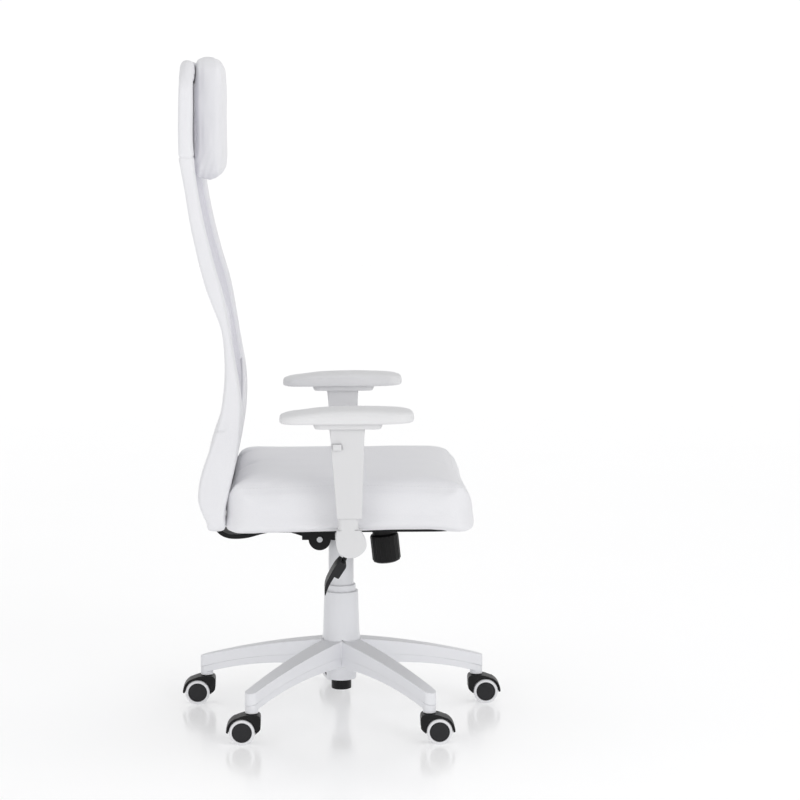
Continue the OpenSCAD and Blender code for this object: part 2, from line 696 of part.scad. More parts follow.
// Plate on top of the sleeve, turning on its short spigot, which carries the pad
swivel_r = 8;
plate_l = 129;
module arm_plate() {
    color(grey_plastic) {
        intersection() {
            plan_prism(round_box(-33, arm_y - 64, 33, arm_y - 64 + plate_l, 16),
                       pad_plate_z + 0.4, pad_plate_z + pad_plate_t);
            side_prism([[arm_y - 60, pad_plate_z], [arm_y - 64 + plate_l - 4, pad_plate_z],
                        [arm_y - 64 + plate_l, pad_plate_z + 6], [arm_y - 64 + plate_l, pad_plate_z + 11],
                        [arm_y - 64, pad_plate_z + 11], [arm_y - 64, pad_plate_z + 6]], -34, 34);
        }
        post_at(arm_y, swivel_r, pad_plate_z - 11, pad_plate_z + 1);
    }
}
// Pad: long rounded slab, crowned along its length
module arm_pad() {
    z0 = pad_plate_z + pad_plate_t;
    y0 = -pad_l / 2 - 7;
    y1 = y0 + pad_l;
    side = concat(
        [[y0 + 3, z0 + 4]],
        curve([[y0, z0 + 9], [y0 + 1, z0 + pad_t - 6], [y0 + 10, z0 + pad_t - 0.5],
               [y0 + 45, z0 + pad_t + 2.5], [y0 + 110, z0 + pad_t + 4], [y0 + 170, z0 + pad_t + 2], [y1 - 50, z0 + pad_t - 2],
               [y1 - 12, z0 + pad_t - 7], [y1 - 2, z0 + pad_t - 12], [y1 - 1, z0 + 5]], 4),
        [[y1 - 6, z0], [y1 - 60, z0], [y0 + 60, z0], [y0 + 9, z0 + 2]]);
    half = pad_w / 2;
    front = concat([[-half + 6, z0]],
                   curve([[-half + 2, z0 + 3], [-half, z0 + 10], [-half + 2, z0 + pad_t - 5],
                          [-half + 12, z0 + pad_t + 1], [0, z0 + pad_t + 4], [half - 12, z0 + pad_t + 1],
                          [half - 2, z0 + pad_t - 5], [half, z0 + 10], [half - 2, z0 + 3]], 3),
                   [[half - 6, z0]]);
    color(grey_plastic) intersection() {
        side_prism(side, -half - 1, half + 1);
        front_prism(front, y0 - 1, y1 + 1);
        plan_prism(round_box(-half, y0, half, y1, 30), z0 - 1, z0 + pad_t + 6);
    }
}

// Back ----------------------------------------------------------------------------------------

// Height above the seat board of a point of the back. Its lower stretch, beside the seat, keeps
// its heights, and the rest follows the height of the back
low_stretch = 141;
full_rise = 887;
function up(h) = board_z + (h < low_stretch ? h
    : low_stretch + (h - low_stretch) * (back_rise - low_stretch) / (full_rise - low_stretch));
// Points of the back, given as distance behind the seat's rear edge and height above the board
function behind(points) = [for (p = points) [seat_back_y + p[0], up(p[1])]];
// Rear edge from the bottom up, and front edge from the top down, seen from the side
rear_edge = curve(behind([[20, 5], [40, 16], [54, 48], [57, 72], [51, 110], [29, 175], [13, 228],
    [5, 290], [6, 348], [13, 392], [41, 468], [64, 564], [80, 660], [88, 716], [87.5, 800], [85.5, 870],
    [79, 886]]), 4);
front_points = behind([[63.4, 800], [63.4, 716], [51, 618], [29, 520], [8, 445], [-10, 340], [-22, 262],
    [-22, 198], [-14, 141], [-2, 86], [8, 40], [6, 14]]);
front_edge = curve(front_points, 4);
sheet_line = curve(concat(behind([[63.4, 880]]), front_points), 4);
front_rim = curve(concat(behind([[67, 887], [62.6, 880]]), front_points), 4);
// The mesh lies a little behind the front edge
mesh_inset = 6;
panel_t = 26;
mesh_side_z = up(288);
mesh_mid_z = up(198);
back_half = back_w / 2;
back_taper = 8;
inner_half = back_half - border_w;
top_rail_h = 44;
back_y0 = seat_back_y - 60;
back_y1 = seat_back_y + 120;

module back_slab(x0, x1) { side_prism(concat(rear_edge, front_rim), x0, x1); }
module back_outline() {
    corner_x = back_half - back_taper - back_corner_r;
    corner_z = back_top_z - back_corner_r;
    front_prism(concat(
        [[-back_half + 14, up(0)], [back_half - 14, up(0)], [back_half, up(40)]],
        arc(corner_x, corner_z, back_corner_r, 0, 90, 10),
        arc(-corner_x, corner_z, back_corner_r, 90, 180, 10),
        [[-back_half, up(40)]]), back_y0, back_y1);
}
module back_rail(side) {
    color(white_leather) intersection() {
        back_slab(side > 0 ? inner_half : -back_half, side > 0 ? back_half : -inner_half);
        back_outline();
    }
}
module back_top_rail() {
    color(white_leather) intersection() {
        back_slab(-inner_half, inner_half);
        back_outline();
        translate([-inner_half, back_y0, back_top_z - top_rail_h])
            cube([2 * inner_half, back_y1 - back_y0, top_rail_h + 10]);
    }
}
// Padded leather panel below the mesh: its top edge drops to the middle
module lower_back_panel() {
    color(white_leather) difference() {
        intersection() {
            side_prism(band(front_edge, 0, panel_t), -inner_half, inner_half);
            front_prism([[-inner_half, up(20)], [inner_half, up(20)], [inner_half, mesh_side_z],
                         [0, mesh_mid_z], [-inner_half, mesh_side_z]], back_y0, back_y1);
        }
        at_back_bolts() post(back_bolt_r, -back_bolt_grip, 1);
    }
}
// Thin sheet between the rails, with its lower edge along the panel's top edge
module back_mesh() {
    color(mesh_white) intersection() {
        side_prism(band(sheet_line, mesh_inset, mesh_inset + mesh_t), -inner_half, inner_half);
        front_prism([[-inner_half, mesh_side_z], [0, mesh_mid_z], [inner_half, mesh_side_z],
                     [inner_half, back_top_z - top_rail_h], [-inner_half, back_top_z - top_rail_h]],
                    back_y0, back_y1);
    }
}

// Bar from the recline pivot, back under the seat and up behind the lower panel.
// Its first stretch follows the distance from the pivot to the seat's rear edge
bar_t = 9;
bar_gap = 2.5;
function bar_span(f) = pivot_y + (seat_back_y - pivot_y) * f;
bar_line = curve(concat(
    [[pivot_y + 8, pivot_z - 6], [bar_span(0.41), board_z - 33], [bar_span(0.64), board_z - 38],
     [bar_span(0.85), board_z - 47], [bar_span(1.05), board_z - 47]],
    behind([[31, -34], [42, -8], [8 + panel_t + bar_t + bar_gap, 30], [-2 + panel_t + bar_t + bar_gap, 86],
            [-14 + panel_t + bar_t + bar_gap, 138]])), 5);
module back_bar() {
    color(black_plastic) difference() {
        union() {
            side_prism(band(bar_line, 0, bar_t), -bar_half_w, bar_half_w);
            bar_x(bar_eye_r, -bar_half_w, bar_half_w, pivot_y, pivot_z);
        }
        bar_x(pivot_r + run_fit, -bar_half_w - 1, bar_half_w + 1, pivot_y, pivot_z);
        at_back_bolts() post(back_bolt_r, -back_bolt_grip, 10);
    }
}
// Four bolts through the bar into the lower panel, square to the bar
back_bolt_r = 4;
back_bolt_head_h = 4.5;
back_bolt_grip = 24;
back_bolt_hs = [60, 112];
function panel_y(h) = seat_back_y + 8 - (h - 40) * 10 / 46;
module at_back_bolts() {
    for (x = [-20, 20]) for (h = back_bolt_hs)
        translate([x, panel_y(h) + panel_t + bar_t + bar_gap, up(h)]) rotate([-90 + 12.3, 0, 0]) children();
}
module back_bolts() {
    color(steel) at_back_bolts() {
        post(back_bolt_r, -back_bolt_grip, 1.5);
        post(back_bolt_r + 3, 1.5, 1.5 + back_bolt_head_h);
    }
}

// Headrest ------------------------------------------------------------------------------------

headrest_back_y = seat_back_y + 59;
headrest_z1 = back_top_z + 8;
headrest_z0 = headrest_z1 - headrest_h;
bracket_plate_t = 3;
module headrest_bracket() {
    color(black_plastic) front_prism(round_box(-80, headrest_z0 + 40, 80, headrest_z1 - 22, 12),
                                     headrest_back_y, headrest_back_y + bracket_plate_t);
}
module headrest_pad() {
    b = headrest_back_y;
    t = headrest_t;
    z0 = headrest_z0;
    z1 = headrest_z1;
    side = curve([[b - 14, z0 + 2], [b - 4, z0 + 8], [b, z0 + 28], [b, z1 - 26],
                  [b - 4, z1 - 7], [b - 16, z1], [b - 32, z1], [b - 46, z1 - 8],
                  [b - t, z1 - 32], [b - t - 1, z1 - 110],
                  [b - t, z0 + 28], [b - 44, z0 + 6], [b - 30, z0]], 4);
    hw = headrest_w / 2;
    color(white_leather) intersection() {
        side_prism(side, -hw, hw);
        front_prism(round_box(-hw, z0, hw, z1, 34), b - t - 5, b + 1);
        plan_prism(round_box(-hw, b - t - 1, hw, b, 12), z0 - 2, z1 + 2);
    }
}

// Nodes ---------------------------------------------------------------------------------------

base_star();
column_cover();
stand_tube();
tube_bush();
thrust_bearing();
column_end_cap();
for (k = [0 : ARMS - 1]) {
    at_caster(k) caster_hood();
    at_caster(k) caster_pins();
    at_caster(k) caster_wheel(-1);
    at_caster(k) caster_wheel(1);
}
gas_rod();
gas_cylinder();
gas_button();
mechanism_tray();
seat_plate();
recline_shaft();
tension_knob();
tension_bolt();
tension_spring();
lever_rod();
lever_paddle();
seat_board();
seat_cushion();
seat_bolts();
for (side = [0, 1]) {
    at_arm(side) arm_bracket();
    at_arm(side) arm_sleeve();
    at_arm(side) arm_button();
    at_arm(side) arm_plate();
    at_arm(side) arm_pad();
}
arm_bolts();
back_bar();
back_bolts();
back_rail(-1);  // back_rail_right
back_rail(1);  // back_rail_left
back_top_rail();
lower_back_panel();
back_mesh();
headrest_bracket();
headrest_pad();
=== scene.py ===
"""Looks of a high-back swivel office chair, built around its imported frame.

All lengths are metres in the chair's own frame: the origin is on the floor under the column,
+Z is up, the sitter faces -Y and the sitter's right is -X.
"""

from __future__ import annotations

import json
import logging
import math
from dataclasses import dataclass
from enum import Enum
from typing import Any, ClassVar

import bmesh
import bpy
import numpy as np
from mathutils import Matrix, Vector
from mathutils.bvhtree import BVHTree

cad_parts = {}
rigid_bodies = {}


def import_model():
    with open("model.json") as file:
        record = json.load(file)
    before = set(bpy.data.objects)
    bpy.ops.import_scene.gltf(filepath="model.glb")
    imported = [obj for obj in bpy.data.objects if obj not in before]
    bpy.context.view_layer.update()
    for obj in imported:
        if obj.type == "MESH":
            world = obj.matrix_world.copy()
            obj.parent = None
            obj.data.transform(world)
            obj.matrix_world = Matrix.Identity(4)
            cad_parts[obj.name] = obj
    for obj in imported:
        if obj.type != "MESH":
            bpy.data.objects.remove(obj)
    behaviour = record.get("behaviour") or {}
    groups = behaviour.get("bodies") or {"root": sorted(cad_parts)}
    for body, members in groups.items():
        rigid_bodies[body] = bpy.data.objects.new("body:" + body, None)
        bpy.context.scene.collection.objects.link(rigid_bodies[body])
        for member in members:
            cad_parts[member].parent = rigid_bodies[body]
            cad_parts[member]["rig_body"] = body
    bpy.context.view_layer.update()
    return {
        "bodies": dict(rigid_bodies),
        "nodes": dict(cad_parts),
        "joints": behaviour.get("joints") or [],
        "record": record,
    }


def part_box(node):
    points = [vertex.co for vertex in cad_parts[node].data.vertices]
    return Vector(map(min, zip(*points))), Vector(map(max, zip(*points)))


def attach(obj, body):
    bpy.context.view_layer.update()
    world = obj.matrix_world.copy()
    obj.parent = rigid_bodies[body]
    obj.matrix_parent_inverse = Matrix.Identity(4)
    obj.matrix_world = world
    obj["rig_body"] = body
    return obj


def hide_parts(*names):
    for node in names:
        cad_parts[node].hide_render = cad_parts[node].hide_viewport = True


log = logging.getLogger("chair")

MM = 0.001
JOINED = 3e-6  # Points of a CAD mesh that are closer than this are one point.
STITCH, STITCH_GAP, THREAD = 4.2 * MM, 2.2 * MM, 0.9 * MM  # Length, space between, and width.
CLOTH_FRAMES = 20
Colour = tuple[float, float, float]


# Shader maths -------------------------------------------------------------------------------


class Shade:
    """A number at a node's socket that can be used in Python expressions."""

    def __init__(self, bench: "Bench", socket: bpy.types.NodeSocket) -> None:
        """Wraps one output socket.

        Args:
            bench: The node tree that the socket is in.
            socket: The output socket that carries the number.
        """
        self.bench = bench
        self.socket = socket

    def _math(self, operation: str, first: Any, second: Any = 0.0) -> "Shade":
        """Adds one Math node.

        Args:
            operation: The Math node's operation.
            first: The first number or socket.
            second: The second number or socket.

        Returns:
            The node's result.
        """
        made = self.bench.node("ShaderNodeMath", {"operation": operation}, {0: first, 1: second})
        return Shade(self.bench, made.outputs[0])

    def __add__(self, other: Any) -> "Shade":
        """Sum of two values."""
        return self._math("ADD", self, other)

    __radd__ = __add__

    def __mul__(self, other: Any) -> "Shade":
        """Product of two values."""
        return self._math("MULTIPLY", self, other)

    __rmul__ = __mul__

    def __sub__(self, other: Any) -> "Shade":
        """This value less another."""
        return self._math("SUBTRACT", self, other)

    def __rsub__(self, other: Any) -> "Shade":
        """Another value less this one."""
        return self._math("SUBTRACT", other, self)

    def __truediv__(self, other: Any) -> "Shade":
        """This value over another."""
        return self._math("DIVIDE", self, other)

    def __pow__(self, other: Any) -> "Shade":
        """This value to a power."""
        return self._math("POWER", self, other)

    def __abs__(self) -> "Shade":
        """This value without its sign."""
        return self._math("ABSOLUTE", self)

    def least(self, other: Any) -> "Shade":
        """The smaller of two values."""
        return self._math("MINIMUM", self, other)

    def most(self, other: Any) -> "Shade":
        """The larger of two values."""
        return self._math("MAXIMUM", self, other)

    def sine(self) -> "Shade":
        """Sine of this value in radians."""
        return self._math("SINE", self)

    def ramp(self, low: float, high: float) -> "Shade":
        """Smooth step of this value.

        Args:
            low: Where the step starts from 0.
            high: Where it reaches 1.

        Returns:
            0 to 1; with high below low the step runs the other way.
        """
        made = self.bench.node(
            "ShaderNodeMapRange",
            {"interpolation_type": "SMOOTHSTEP"},
            {"Value": self, "From Min": min(low, high), "From Max": max(low, high),
             "To Min": 0.0 if low < high else 1.0, "To Max": 1.0 if low < high else 0.0},
        )
        return Shade(self.bench, made.outputs[0])

    def near(self, place: float, width: float) -> "Shade":
        """1 where this value is at a place, falling to 0 a width away."""
        return abs(self - place).ramp(width, 0.0)


class Bench:
    """A material's node tree, where every finish is put together."""

    def __init__(self, name: str) -> None:
        """Makes an empty material.

        Args:
            name: The material's name.
        """
        self.material = bpy.data.materials.new(name)
        self.material.use_nodes = True
        self.tree = self.material.node_tree
        self.tree.nodes.clear()
        self.coordinates = self.node("ShaderNodeTexCoord", {}, {})

    def node(self, kind: str, settings: dict[str, Any], values: dict[Any, Any]) -> bpy.types.Node:
        """Adds one node.

        Args:
            kind: The node's type.
            settings: Its properties, and for a ramp its stops as (place, colour).
            values: Numbers, colours or sockets for its inputs, by name or number.

        Returns:
            The new node.
        """
        made = self.tree.nodes.new(kind)
        for key, value in settings.items():
            if key == "stops":
                elements = made.color_ramp.elements
                while len(elements) < len(value):
                    elements.new(0.5)
                for element, (place, colour) in zip(elements, value):
                    element.position = place
                    element.color = (*colour, 1.0)
            else:
                setattr(made, key, value)
        for key, value in values.items():
            socket = made.inputs[key]
            if isinstance(value, Shade):
                self.tree.links.new(value.socket, socket)
            elif isinstance(value, bpy.types.NodeSocket):
                self.tree.links.new(value, socket)
            elif isinstance(value, tuple) and len(value) == 3 and socket.type == "RGBA":
                socket.default_value = (*value, 1.0)
            else:
                socket.default_value = value
        return made

    def place(
        self, stretch: Colour = (1.0, 1.0, 1.0), centre: Colour = (0.0, 0.0, 0.0)
    ) -> bpy.types.NodeSocket:
        """Object coordinates, moved to a centre and then stretched.

        Args:
            stretch: Factor along each axis; a small one draws a pattern out.
            centre: The point that becomes the pattern's middle.

        Returns:
            The socket with the coordinates.
        """
        moved = tuple(-c * s for c, s in zip(centre, stretch))
        made = self.node(
            "ShaderNodeMapping", {},
            {"Vector": self.coordinates.outputs["Object"], "Location": moved, "Scale": stretch},
        )
        return made.outputs[0]

    def axes(self, vector: bpy.types.NodeSocket) -> tuple[Shade, Shade, Shade]:
        """The three numbers of a vector."""
        split = self.node("ShaderNodeSeparateXYZ", {}, {0: vector})
        return Shade(self, split.outputs[0]), Shade(self, split.outputs[1]), Shade(self, split.outputs[2])

    def noise(self, size: float, detail: float = 2.0, stretch: Colour = (1.0, 1.0, 1.0)) -> Shade:
        """Cloudy noise from 0 to 1.

        Args:
            size: Size of one cloud in metres.
            detail: How many finer layers it has.
            stretch: Factor along each axis.

        Returns:
            The noise.
        """
        made = self.node(
            "ShaderNodeTexNoise", {}, {"Vector": self.place(stretch), "Scale": 1.0 / size, "Detail": detail}
        )
        return Shade(self, made.outputs[0])

    def cells(self, size: float, feature: str = "F1", stretch: Colour = (1.0, 1.0, 1.0)) -> Shade:
        """Distance in a pattern of cells.

        Args:
            size: Size of one cell in metres.
            feature: F1 for rounded cells, DISTANCE_TO_EDGE for the creases between them.
            stretch: Factor along each axis.

        Returns:
            The distance, in cell sizes.
        """
        made = self.node(
            "ShaderNodeTexVoronoi", {"feature": feature},
            {"Vector": self.place(stretch), "Scale": 1.0 / size},
        )
        return Shade(self, made.outputs["Distance"])

    def blend(self, low: Any, high: Any, share: Any) -> bpy.types.NodeSocket:
        """Mixes two colours.

        Args:
            low: Colour at share 0.
            high: Colour at share 1.
            share: The share, a number or a value.

        Returns:
            The mixed colour's socket.
        """
        made = self.node(
            "ShaderNodeMix", {"data_type": "RGBA", "clamp_factor": True}, {0: share, 6: low, 7: high}
        )
        return made.outputs[2]

    def edge_wear(self, low: float = 0.53, high: float = 0.62) -> Shade:
        """1 on sharp outer edges and 0 elsewhere, from the surface's own curvature; it marks worn edges and
        painted edge highlights.
        """
        geometry = self.node("ShaderNodeNewGeometry", {}, {})
        return Shade(self, geometry.outputs["Pointiness"]).ramp(low, high)

    def relief(self, height: Shade, depth: float, strength: float = 1.0) -> bpy.types.NodeSocket:
        """Normal of a surface with a fine relief.

        Args:
            height: The relief, 0 to 1.
            depth: Its depth in metres.
            strength: How much of it shows.

        Returns:
            The bumped normal's socket.
        """
        made = self.node("ShaderNodeBump", {}, {"Strength": strength, "Distance": depth, "Height": height})
        return made.outputs[0]

    def finish(self, **sockets: Any) -> bpy.types.Material:
        """Joins the surface shader and returns the material.

        Args:
            **sockets: Values for the Principled shader, with _ for each space in a name.

        Returns:
            The finished material.
        """
        values = {key.replace("_", " "): value for key, value in sockets.items()}
        shader = self.node("ShaderNodeBsdfPrincipled", {}, values)
        self.node("ShaderNodeOutputMaterial", {}, {"Surface": shader.outputs[0]})
        return self.material


# Finishes -----------------------------------------------------------------------------------


@dataclass(frozen=True)
class LeatherLook:
    """Coated upholstery with a pebbled grain, faint creases and a soft sheen."""

    name: str
    colour: Colour
    shade: Colour
    grain: float = 1.5 * MM
    crease: float = 1.0

    def make(self) -> bpy.types.Material:
        """Pebbles with fine creases between them, over slow changes of tone and gloss."""
        b = Bench(self.name)
        pebble = b.cells(self.grain, "SMOOTH_F1")
        gap = b.cells(self.grain * 1.7, "DISTANCE_TO_EDGE").ramp(0.0, 0.16)
        pores = b.noise(0.5 * MM, 2.0)
        pull = b.noise(26 * MM, 3.0, (1.0, 1.0, 0.45))
        tone = b.noise(90 * MM, 3.0)
        worn_lit_edge = b.edge_wear(0.515, 0.56)
        # The shade colour is painted shade in the creases between the pebbles (gap), mixed in with a slow
        # random tone.
        colour = b.blend(self.shade, self.colour, (tone * 0.55 + gap * 0.3 + 0.25).least(1.0))
        # Sharp edges go back to the full bright colour: a painted highlight along the leather's edges.
        colour = b.blend(colour, self.colour, worn_lit_edge * 0.5)
        height = (1.0 - pebble) * 0.5 + gap * 0.35 + pores * 0.12 + pull * (2.2 * self.crease)
        return b.finish(
            Base_Color=colour,
            Roughness=0.40 + pores * 0.08 + tone * 0.10 - worn_lit_edge * 0.08,
            Normal=b.relief(height, 0.22 * MM, 0.55),
            Specular_IOR_Level=0.42,
            Coat_Weight=0.06,
            Coat_Roughness=0.35,
            Sheen_Weight=0.08,
        )


@dataclass(frozen=True)
class MouldedPlastic:
    """Injection-moulded plastic with a spark-eroded surface and paler edges that are partly worn and partly
    a painted highlight.
    """

    name: str
    colour: Colour
    # Paler colour for sharp edges: partly worn plastic, partly a painted edge highlight.
    edge: Colour
    gloss: float = 0.35
    texture: float = 0.7 * MM
    depth: float = 0.03 * MM
    shine: float = 0.45

    def make(self) -> bpy.types.Material:
        """Fine eroded texture, slow flow marks and slightly paler edges, partly wear and partly a painted
        edge highlight.
        """
        b = Bench(self.name)
        erosion = b.noise(self.texture, 3.0)
        speck = b.cells(self.texture * 1.6)
        flow = b.noise(70 * MM, 2.0, (1.0, 1.0, 0.35))
        worn_lit_edge = b.edge_wear()
        scuff = b.noise(6 * MM, 4.0).ramp(0.55, 0.75)
        dark = tuple(c * 0.93 for c in self.colour)
        colour = b.blend(dark, self.colour, flow * 0.6 + erosion * 0.4)
        # Sharp edges are mixed toward the edge colour: partly worn plastic, partly a painted edge
        # highlight.
        colour = b.blend(colour, self.edge, worn_lit_edge * 0.55)
        return b.finish(
            Base_Color=colour,
            Roughness=self.gloss + erosion * 0.10 + scuff * 0.06 - worn_lit_edge * 0.06,
            Normal=b.relief(erosion * 0.6 + (1.0 - speck) * 0.4, self.depth, 0.8),
            Specular_IOR_Level=self.shine,
        )


@dataclass(frozen=True)
class PaintedSteel:
    """Powder-coated steel with a slight orange peel and paler edges that are partly worn paint and partly a
    painted highlight.
    """

    name: str
    colour: Colour
    rubbed: Colour
    gloss: float = 0.38
    shine: float = 0.5

    def make(self) -> bpy.types.Material:
        """Soft orange peel, dust in the coat and brighter edges, partly wear and partly a painted edge
        highlight.
        """
        b = Bench(self.name)
        peel = b.noise(1.8 * MM, 2.0)
        dust = b.cells(1.1 * MM).ramp(0.0, 0.35)
        tone = b.noise(60 * MM, 2.0)
        worn_lit_edge = b.edge_wear(0.54, 0.66)
        colour = b.blend(tuple(c * 0.85 for c in self.colour), self.colour, tone)
        # Sharp edges are mixed toward the brighter edge colour: partly worn paint, partly a painted edge
        # highlight.
        colour = b.blend(colour, self.rubbed, worn_lit_edge * 0.6)
        return b.finish(
            Base_Color=colour,
            Roughness=self.gloss + peel * 0.08 + tone * 0.05,
            Normal=b.relief(peel + dust * 0.2, 0.05 * MM, 0.8),
            Specular_IOR_Level=self.shine,
            Coat_Weight=0.04,
            Coat_Roughness=0.3,
        )


@dataclass(frozen=True)
class BareSteel:
    """Turned or zinc-plated steel with fine lines along one axis."""

    name: str
    colour: Colour
    lines: Colour = (1.0, 1.0, 30.0)
    gloss: float = 0.26

    def make(self) -> bpy.types.Material:
        """Fine lines from the tool, faint stains and a changing gloss."""
        b = Bench(self.name)
        turned = b.noise(5 * MM, 3.0, self.lines)
        stain = b.noise(14 * MM, 4.0)
        colour = b.blend(tuple(c * 0.82 for c in self.colour), self.colour, turned * 0.5 + stain * 0.5)
        return b.finish(
            Base_Color=colour,
            Metallic=1.0,
            Roughness=self.gloss + turned * 0.12 + stain * 0.12,
            Normal=b.relief(turned, 0.02 * MM, 0.7),
        )


@dataclass(frozen=True)
class TreadRubber:
    """Cast polyurethane tread, pale, with dust and scuffs on the running face."""

    name: str
    colour: Colour
    dirt: Colour

    def make(self) -> bpy.types.Material:
        """Smooth casting with scuffs near the floor-side face."""
        b = Bench(self.name)
        scuff = b.noise(3 * MM, 4.0).ramp(0.52, 0.74)
        fine = b.noise(0.6 * MM, 2.0)
        colour = b.blend(self.colour, self.dirt, scuff * 0.35)
        return b.finish(
            Base_Color=colour,
            Roughness=0.42 + scuff * 0.15 + fine * 0.06,
            Normal=b.relief(fine + scuff * 0.5, 0.04 * MM, 0.6),
            Specular_IOR_Level=0.45,
        )


@dataclass(frozen=True)
class DustCloth:
    """Black spun-bonded cloth, stapled over the seat board."""

    name: str
    colour: Colour
    fibre_colour: Colour
    point: float = 1.6 * MM

    def make(self) -> bpy.types.Material:
        """Pressed points in rows, with loose fibres that run both ways between them."""
        b = Bench(self.name)
        x, y, _ = b.axes(b.place())
        turn = 2 * math.pi / self.point
        points = ((x * turn).sine() * (y * turn).sine()).ramp(0.35, 0.8)
        along = b.noise(3 * MM, 3.0, (5.0, 0.4, 1.0))
        across = b.noise(3 * MM, 3.0, (0.4, 5.0, 1.0))
        fibre = along.most(across)
        colour = b.blend(self.colour, self.fibre_colour, fibre * 0.7 - points * 0.4)
        return b.finish(
            Base_Color=colour,
            Roughness=0.72 + fibre * 0.15,
            Normal=b.relief(fibre * 0.5 - points * 0.5, 0.15 * MM, 0.8),
            Specular_IOR_Level=0.2,
        )


@dataclass(frozen=True)
class KnittedMesh:
    """Knitted spacer mesh: threads around small open eyes in offset rows."""

    name: str
    thread: Colour
    shadow: Colour
    pitch: float = 2.6 * MM
    eye: float = 0.26

    def make(self) -> bpy.types.Material:
        """Eyes are ellipses on a brick pattern of the sheet's own metres; threads stand round them."""
        b = Bench(self.name)
        u, v, _ = b.axes(b.coordinates.outputs["UV"])
        turn = 2.0 * math.pi / self.pitch
        wave = (u * turn).sine() * (v * (turn * 0.62)).sine()
        eye = abs(wave).ramp(self.eye + 0.22, self.eye + 0.46)
        strand = b.noise(0.5 * MM, 2.0)
        tone = b.noise(60 * MM, 2.0)
        colour = b.blend(self.shadow, self.thread, (1.0 - eye) * 0.7 + tone * 0.3)
        return b.finish(
            Base_Color=colour,
            Roughness=0.62 + strand * 0.15,
            Alpha=1.0 - eye * 0.78,
            Normal=b.relief((1.0 - eye) * 0.8 + strand * 0.2, 0.35 * MM, 0.8),
            Sheen_Weight=0.2,
            Specular_IOR_Level=0.3,
        )


@dataclass(frozen=True)
class SewingThread:
    """Twisted polyester thread."""

    name: str
    colour: Colour

    def make(self) -> bpy.types.Material:
        """Fine twist along the thread and a little fuzz."""
        b = Bench(self.name)
        twist = b.noise(0.35 * MM, 2.0)
        colour = b.blend(tuple(c * 0.88 for c in self.colour), self.colour, twist)
        return b.finish(
            Base_Color=colour, Roughness=0.5 + twist * 0.2,
            Normal=b.relief(twist, 0.05 * MM, 0.7), Sheen_Weight=0.15,
        )


@dataclass(frozen=True)
class CapDisc:
    """Moulded wheel cap: a finely stippled face inside a smooth rim."""

    name: str
    colour: Colour
    sheen: Colour

    def make(self) -> bpy.types.Material:
        """Stipple of small dots with a painted sheen between them, and slow patches of dust."""
        b = Bench(self.name)
        dots = b.cells(0.9 * MM).ramp(0.1, 0.5)
        dust = b.noise(5 * MM, 3.0)
        # The sheen colour is a painted sheen on the face between the dots, and grey dust in the slow
        # patches.
        colour = b.blend(self.colour, self.sheen, dots * 0.35 + dust * 0.2)
        return b.finish(
            Base_Color=colour, Roughness=0.42 + dust * 0.15, Specular_IOR_Level=0.28,
            Normal=b.relief(1.0 - dots, 0.12 * MM, 0.8),
        )


class Paint:
    """Every finish of the chair, made once and shared by its pieces."""

    def __init__(self) -> None:
        """Mixes all the materials."""
        white_hide, hide_shade = (0.82, 0.82, 0.84), (0.745, 0.745, 0.78)
        # white_sheen is the paler colour of sharp edges on white pieces: a painted highlight along their
        # edges.
        white, white_sheen = (0.83, 0.835, 0.865), (0.88, 0.885, 0.90)
        self.leather = LeatherLook("white leather look", white_hide, hide_shade).make()
        self.pad_leather = LeatherLook(
            "headrest leather look", white_hide, hide_shade, 1.4 * MM, 1.4
        ).make()
        self.base_white = MouldedPlastic(
            "white nylon base", white, white_sheen, 0.30, 0.8 * MM, 0.03 * MM
        ).make()
        self.cover_white = MouldedPlastic(
            "white column cover", white, white_sheen, 0.26, 0.6 * MM, 0.02 * MM
        ).make()
        self.column_white = PaintedSteel("white painted column", white, white_sheen, 0.26).make()
        self.arm_white = MouldedPlastic(
            "pale grey arm plastic", (0.72, 0.72, 0.73), (0.77, 0.77, 0.78), 0.42, 0.9 * MM, 0.05 * MM
        ).make()
        self.arm_pad = MouldedPlastic(
            "soft arm pad", (0.78, 0.78, 0.79), (0.82, 0.82, 0.83), 0.52, 1.1 * MM, 0.08 * MM
        ).make()
        self.black_plastic = MouldedPlastic(
            "black moulded plastic", (0.0055, 0.0055, 0.006), (0.03, 0.03, 0.032),
            0.36, 0.7 * MM, 0.05 * MM, 0.22,
        ).make()
        self.grey_paddle = MouldedPlastic(
            "dark grey lever grip", (0.012, 0.012, 0.014), (0.05, 0.05, 0.055),
            0.42, 1.2 * MM, 0.10 * MM, 0.3,
        ).make()
        self.black_steel = PaintedSteel(
            "black painted steel", (0.006, 0.006, 0.007), (0.04, 0.04, 0.043), 0.42, 0.22
        ).make()
        self.steel = BareSteel("turned steel", (0.60, 0.61, 0.63)).make()
        self.plated = BareSteel("plated bolts", (0.55, 0.56, 0.58), (3.0, 3.0, 3.0), 0.3).make()
        self.nylon = MouldedPlastic("natural nylon", (0.66, 0.65, 0.60), (0.72, 0.71, 0.67), 0.4).make()
        self.tread = TreadRubber("pale wheel tread", (0.80, 0.80, 0.82), (0.55, 0.54, 0.53)).make()
        self.cap = CapDisc("stippled wheel cap", (0.007, 0.007, 0.008), (0.035, 0.035, 0.038)).make()
        self.dust_cloth = DustCloth("black dust cloth", (0.008, 0.008, 0.009), (0.03, 0.03, 0.032)).make()
        self.mesh = KnittedMesh("white knitted mesh", (0.74, 0.73, 0.80), (0.58, 0.57, 0.66)).make()
        self.thread = SewingThread("white thread", (0.78, 0.78, 0.80)).make()


# Mesh work ----------------------------------------------------------------------------------


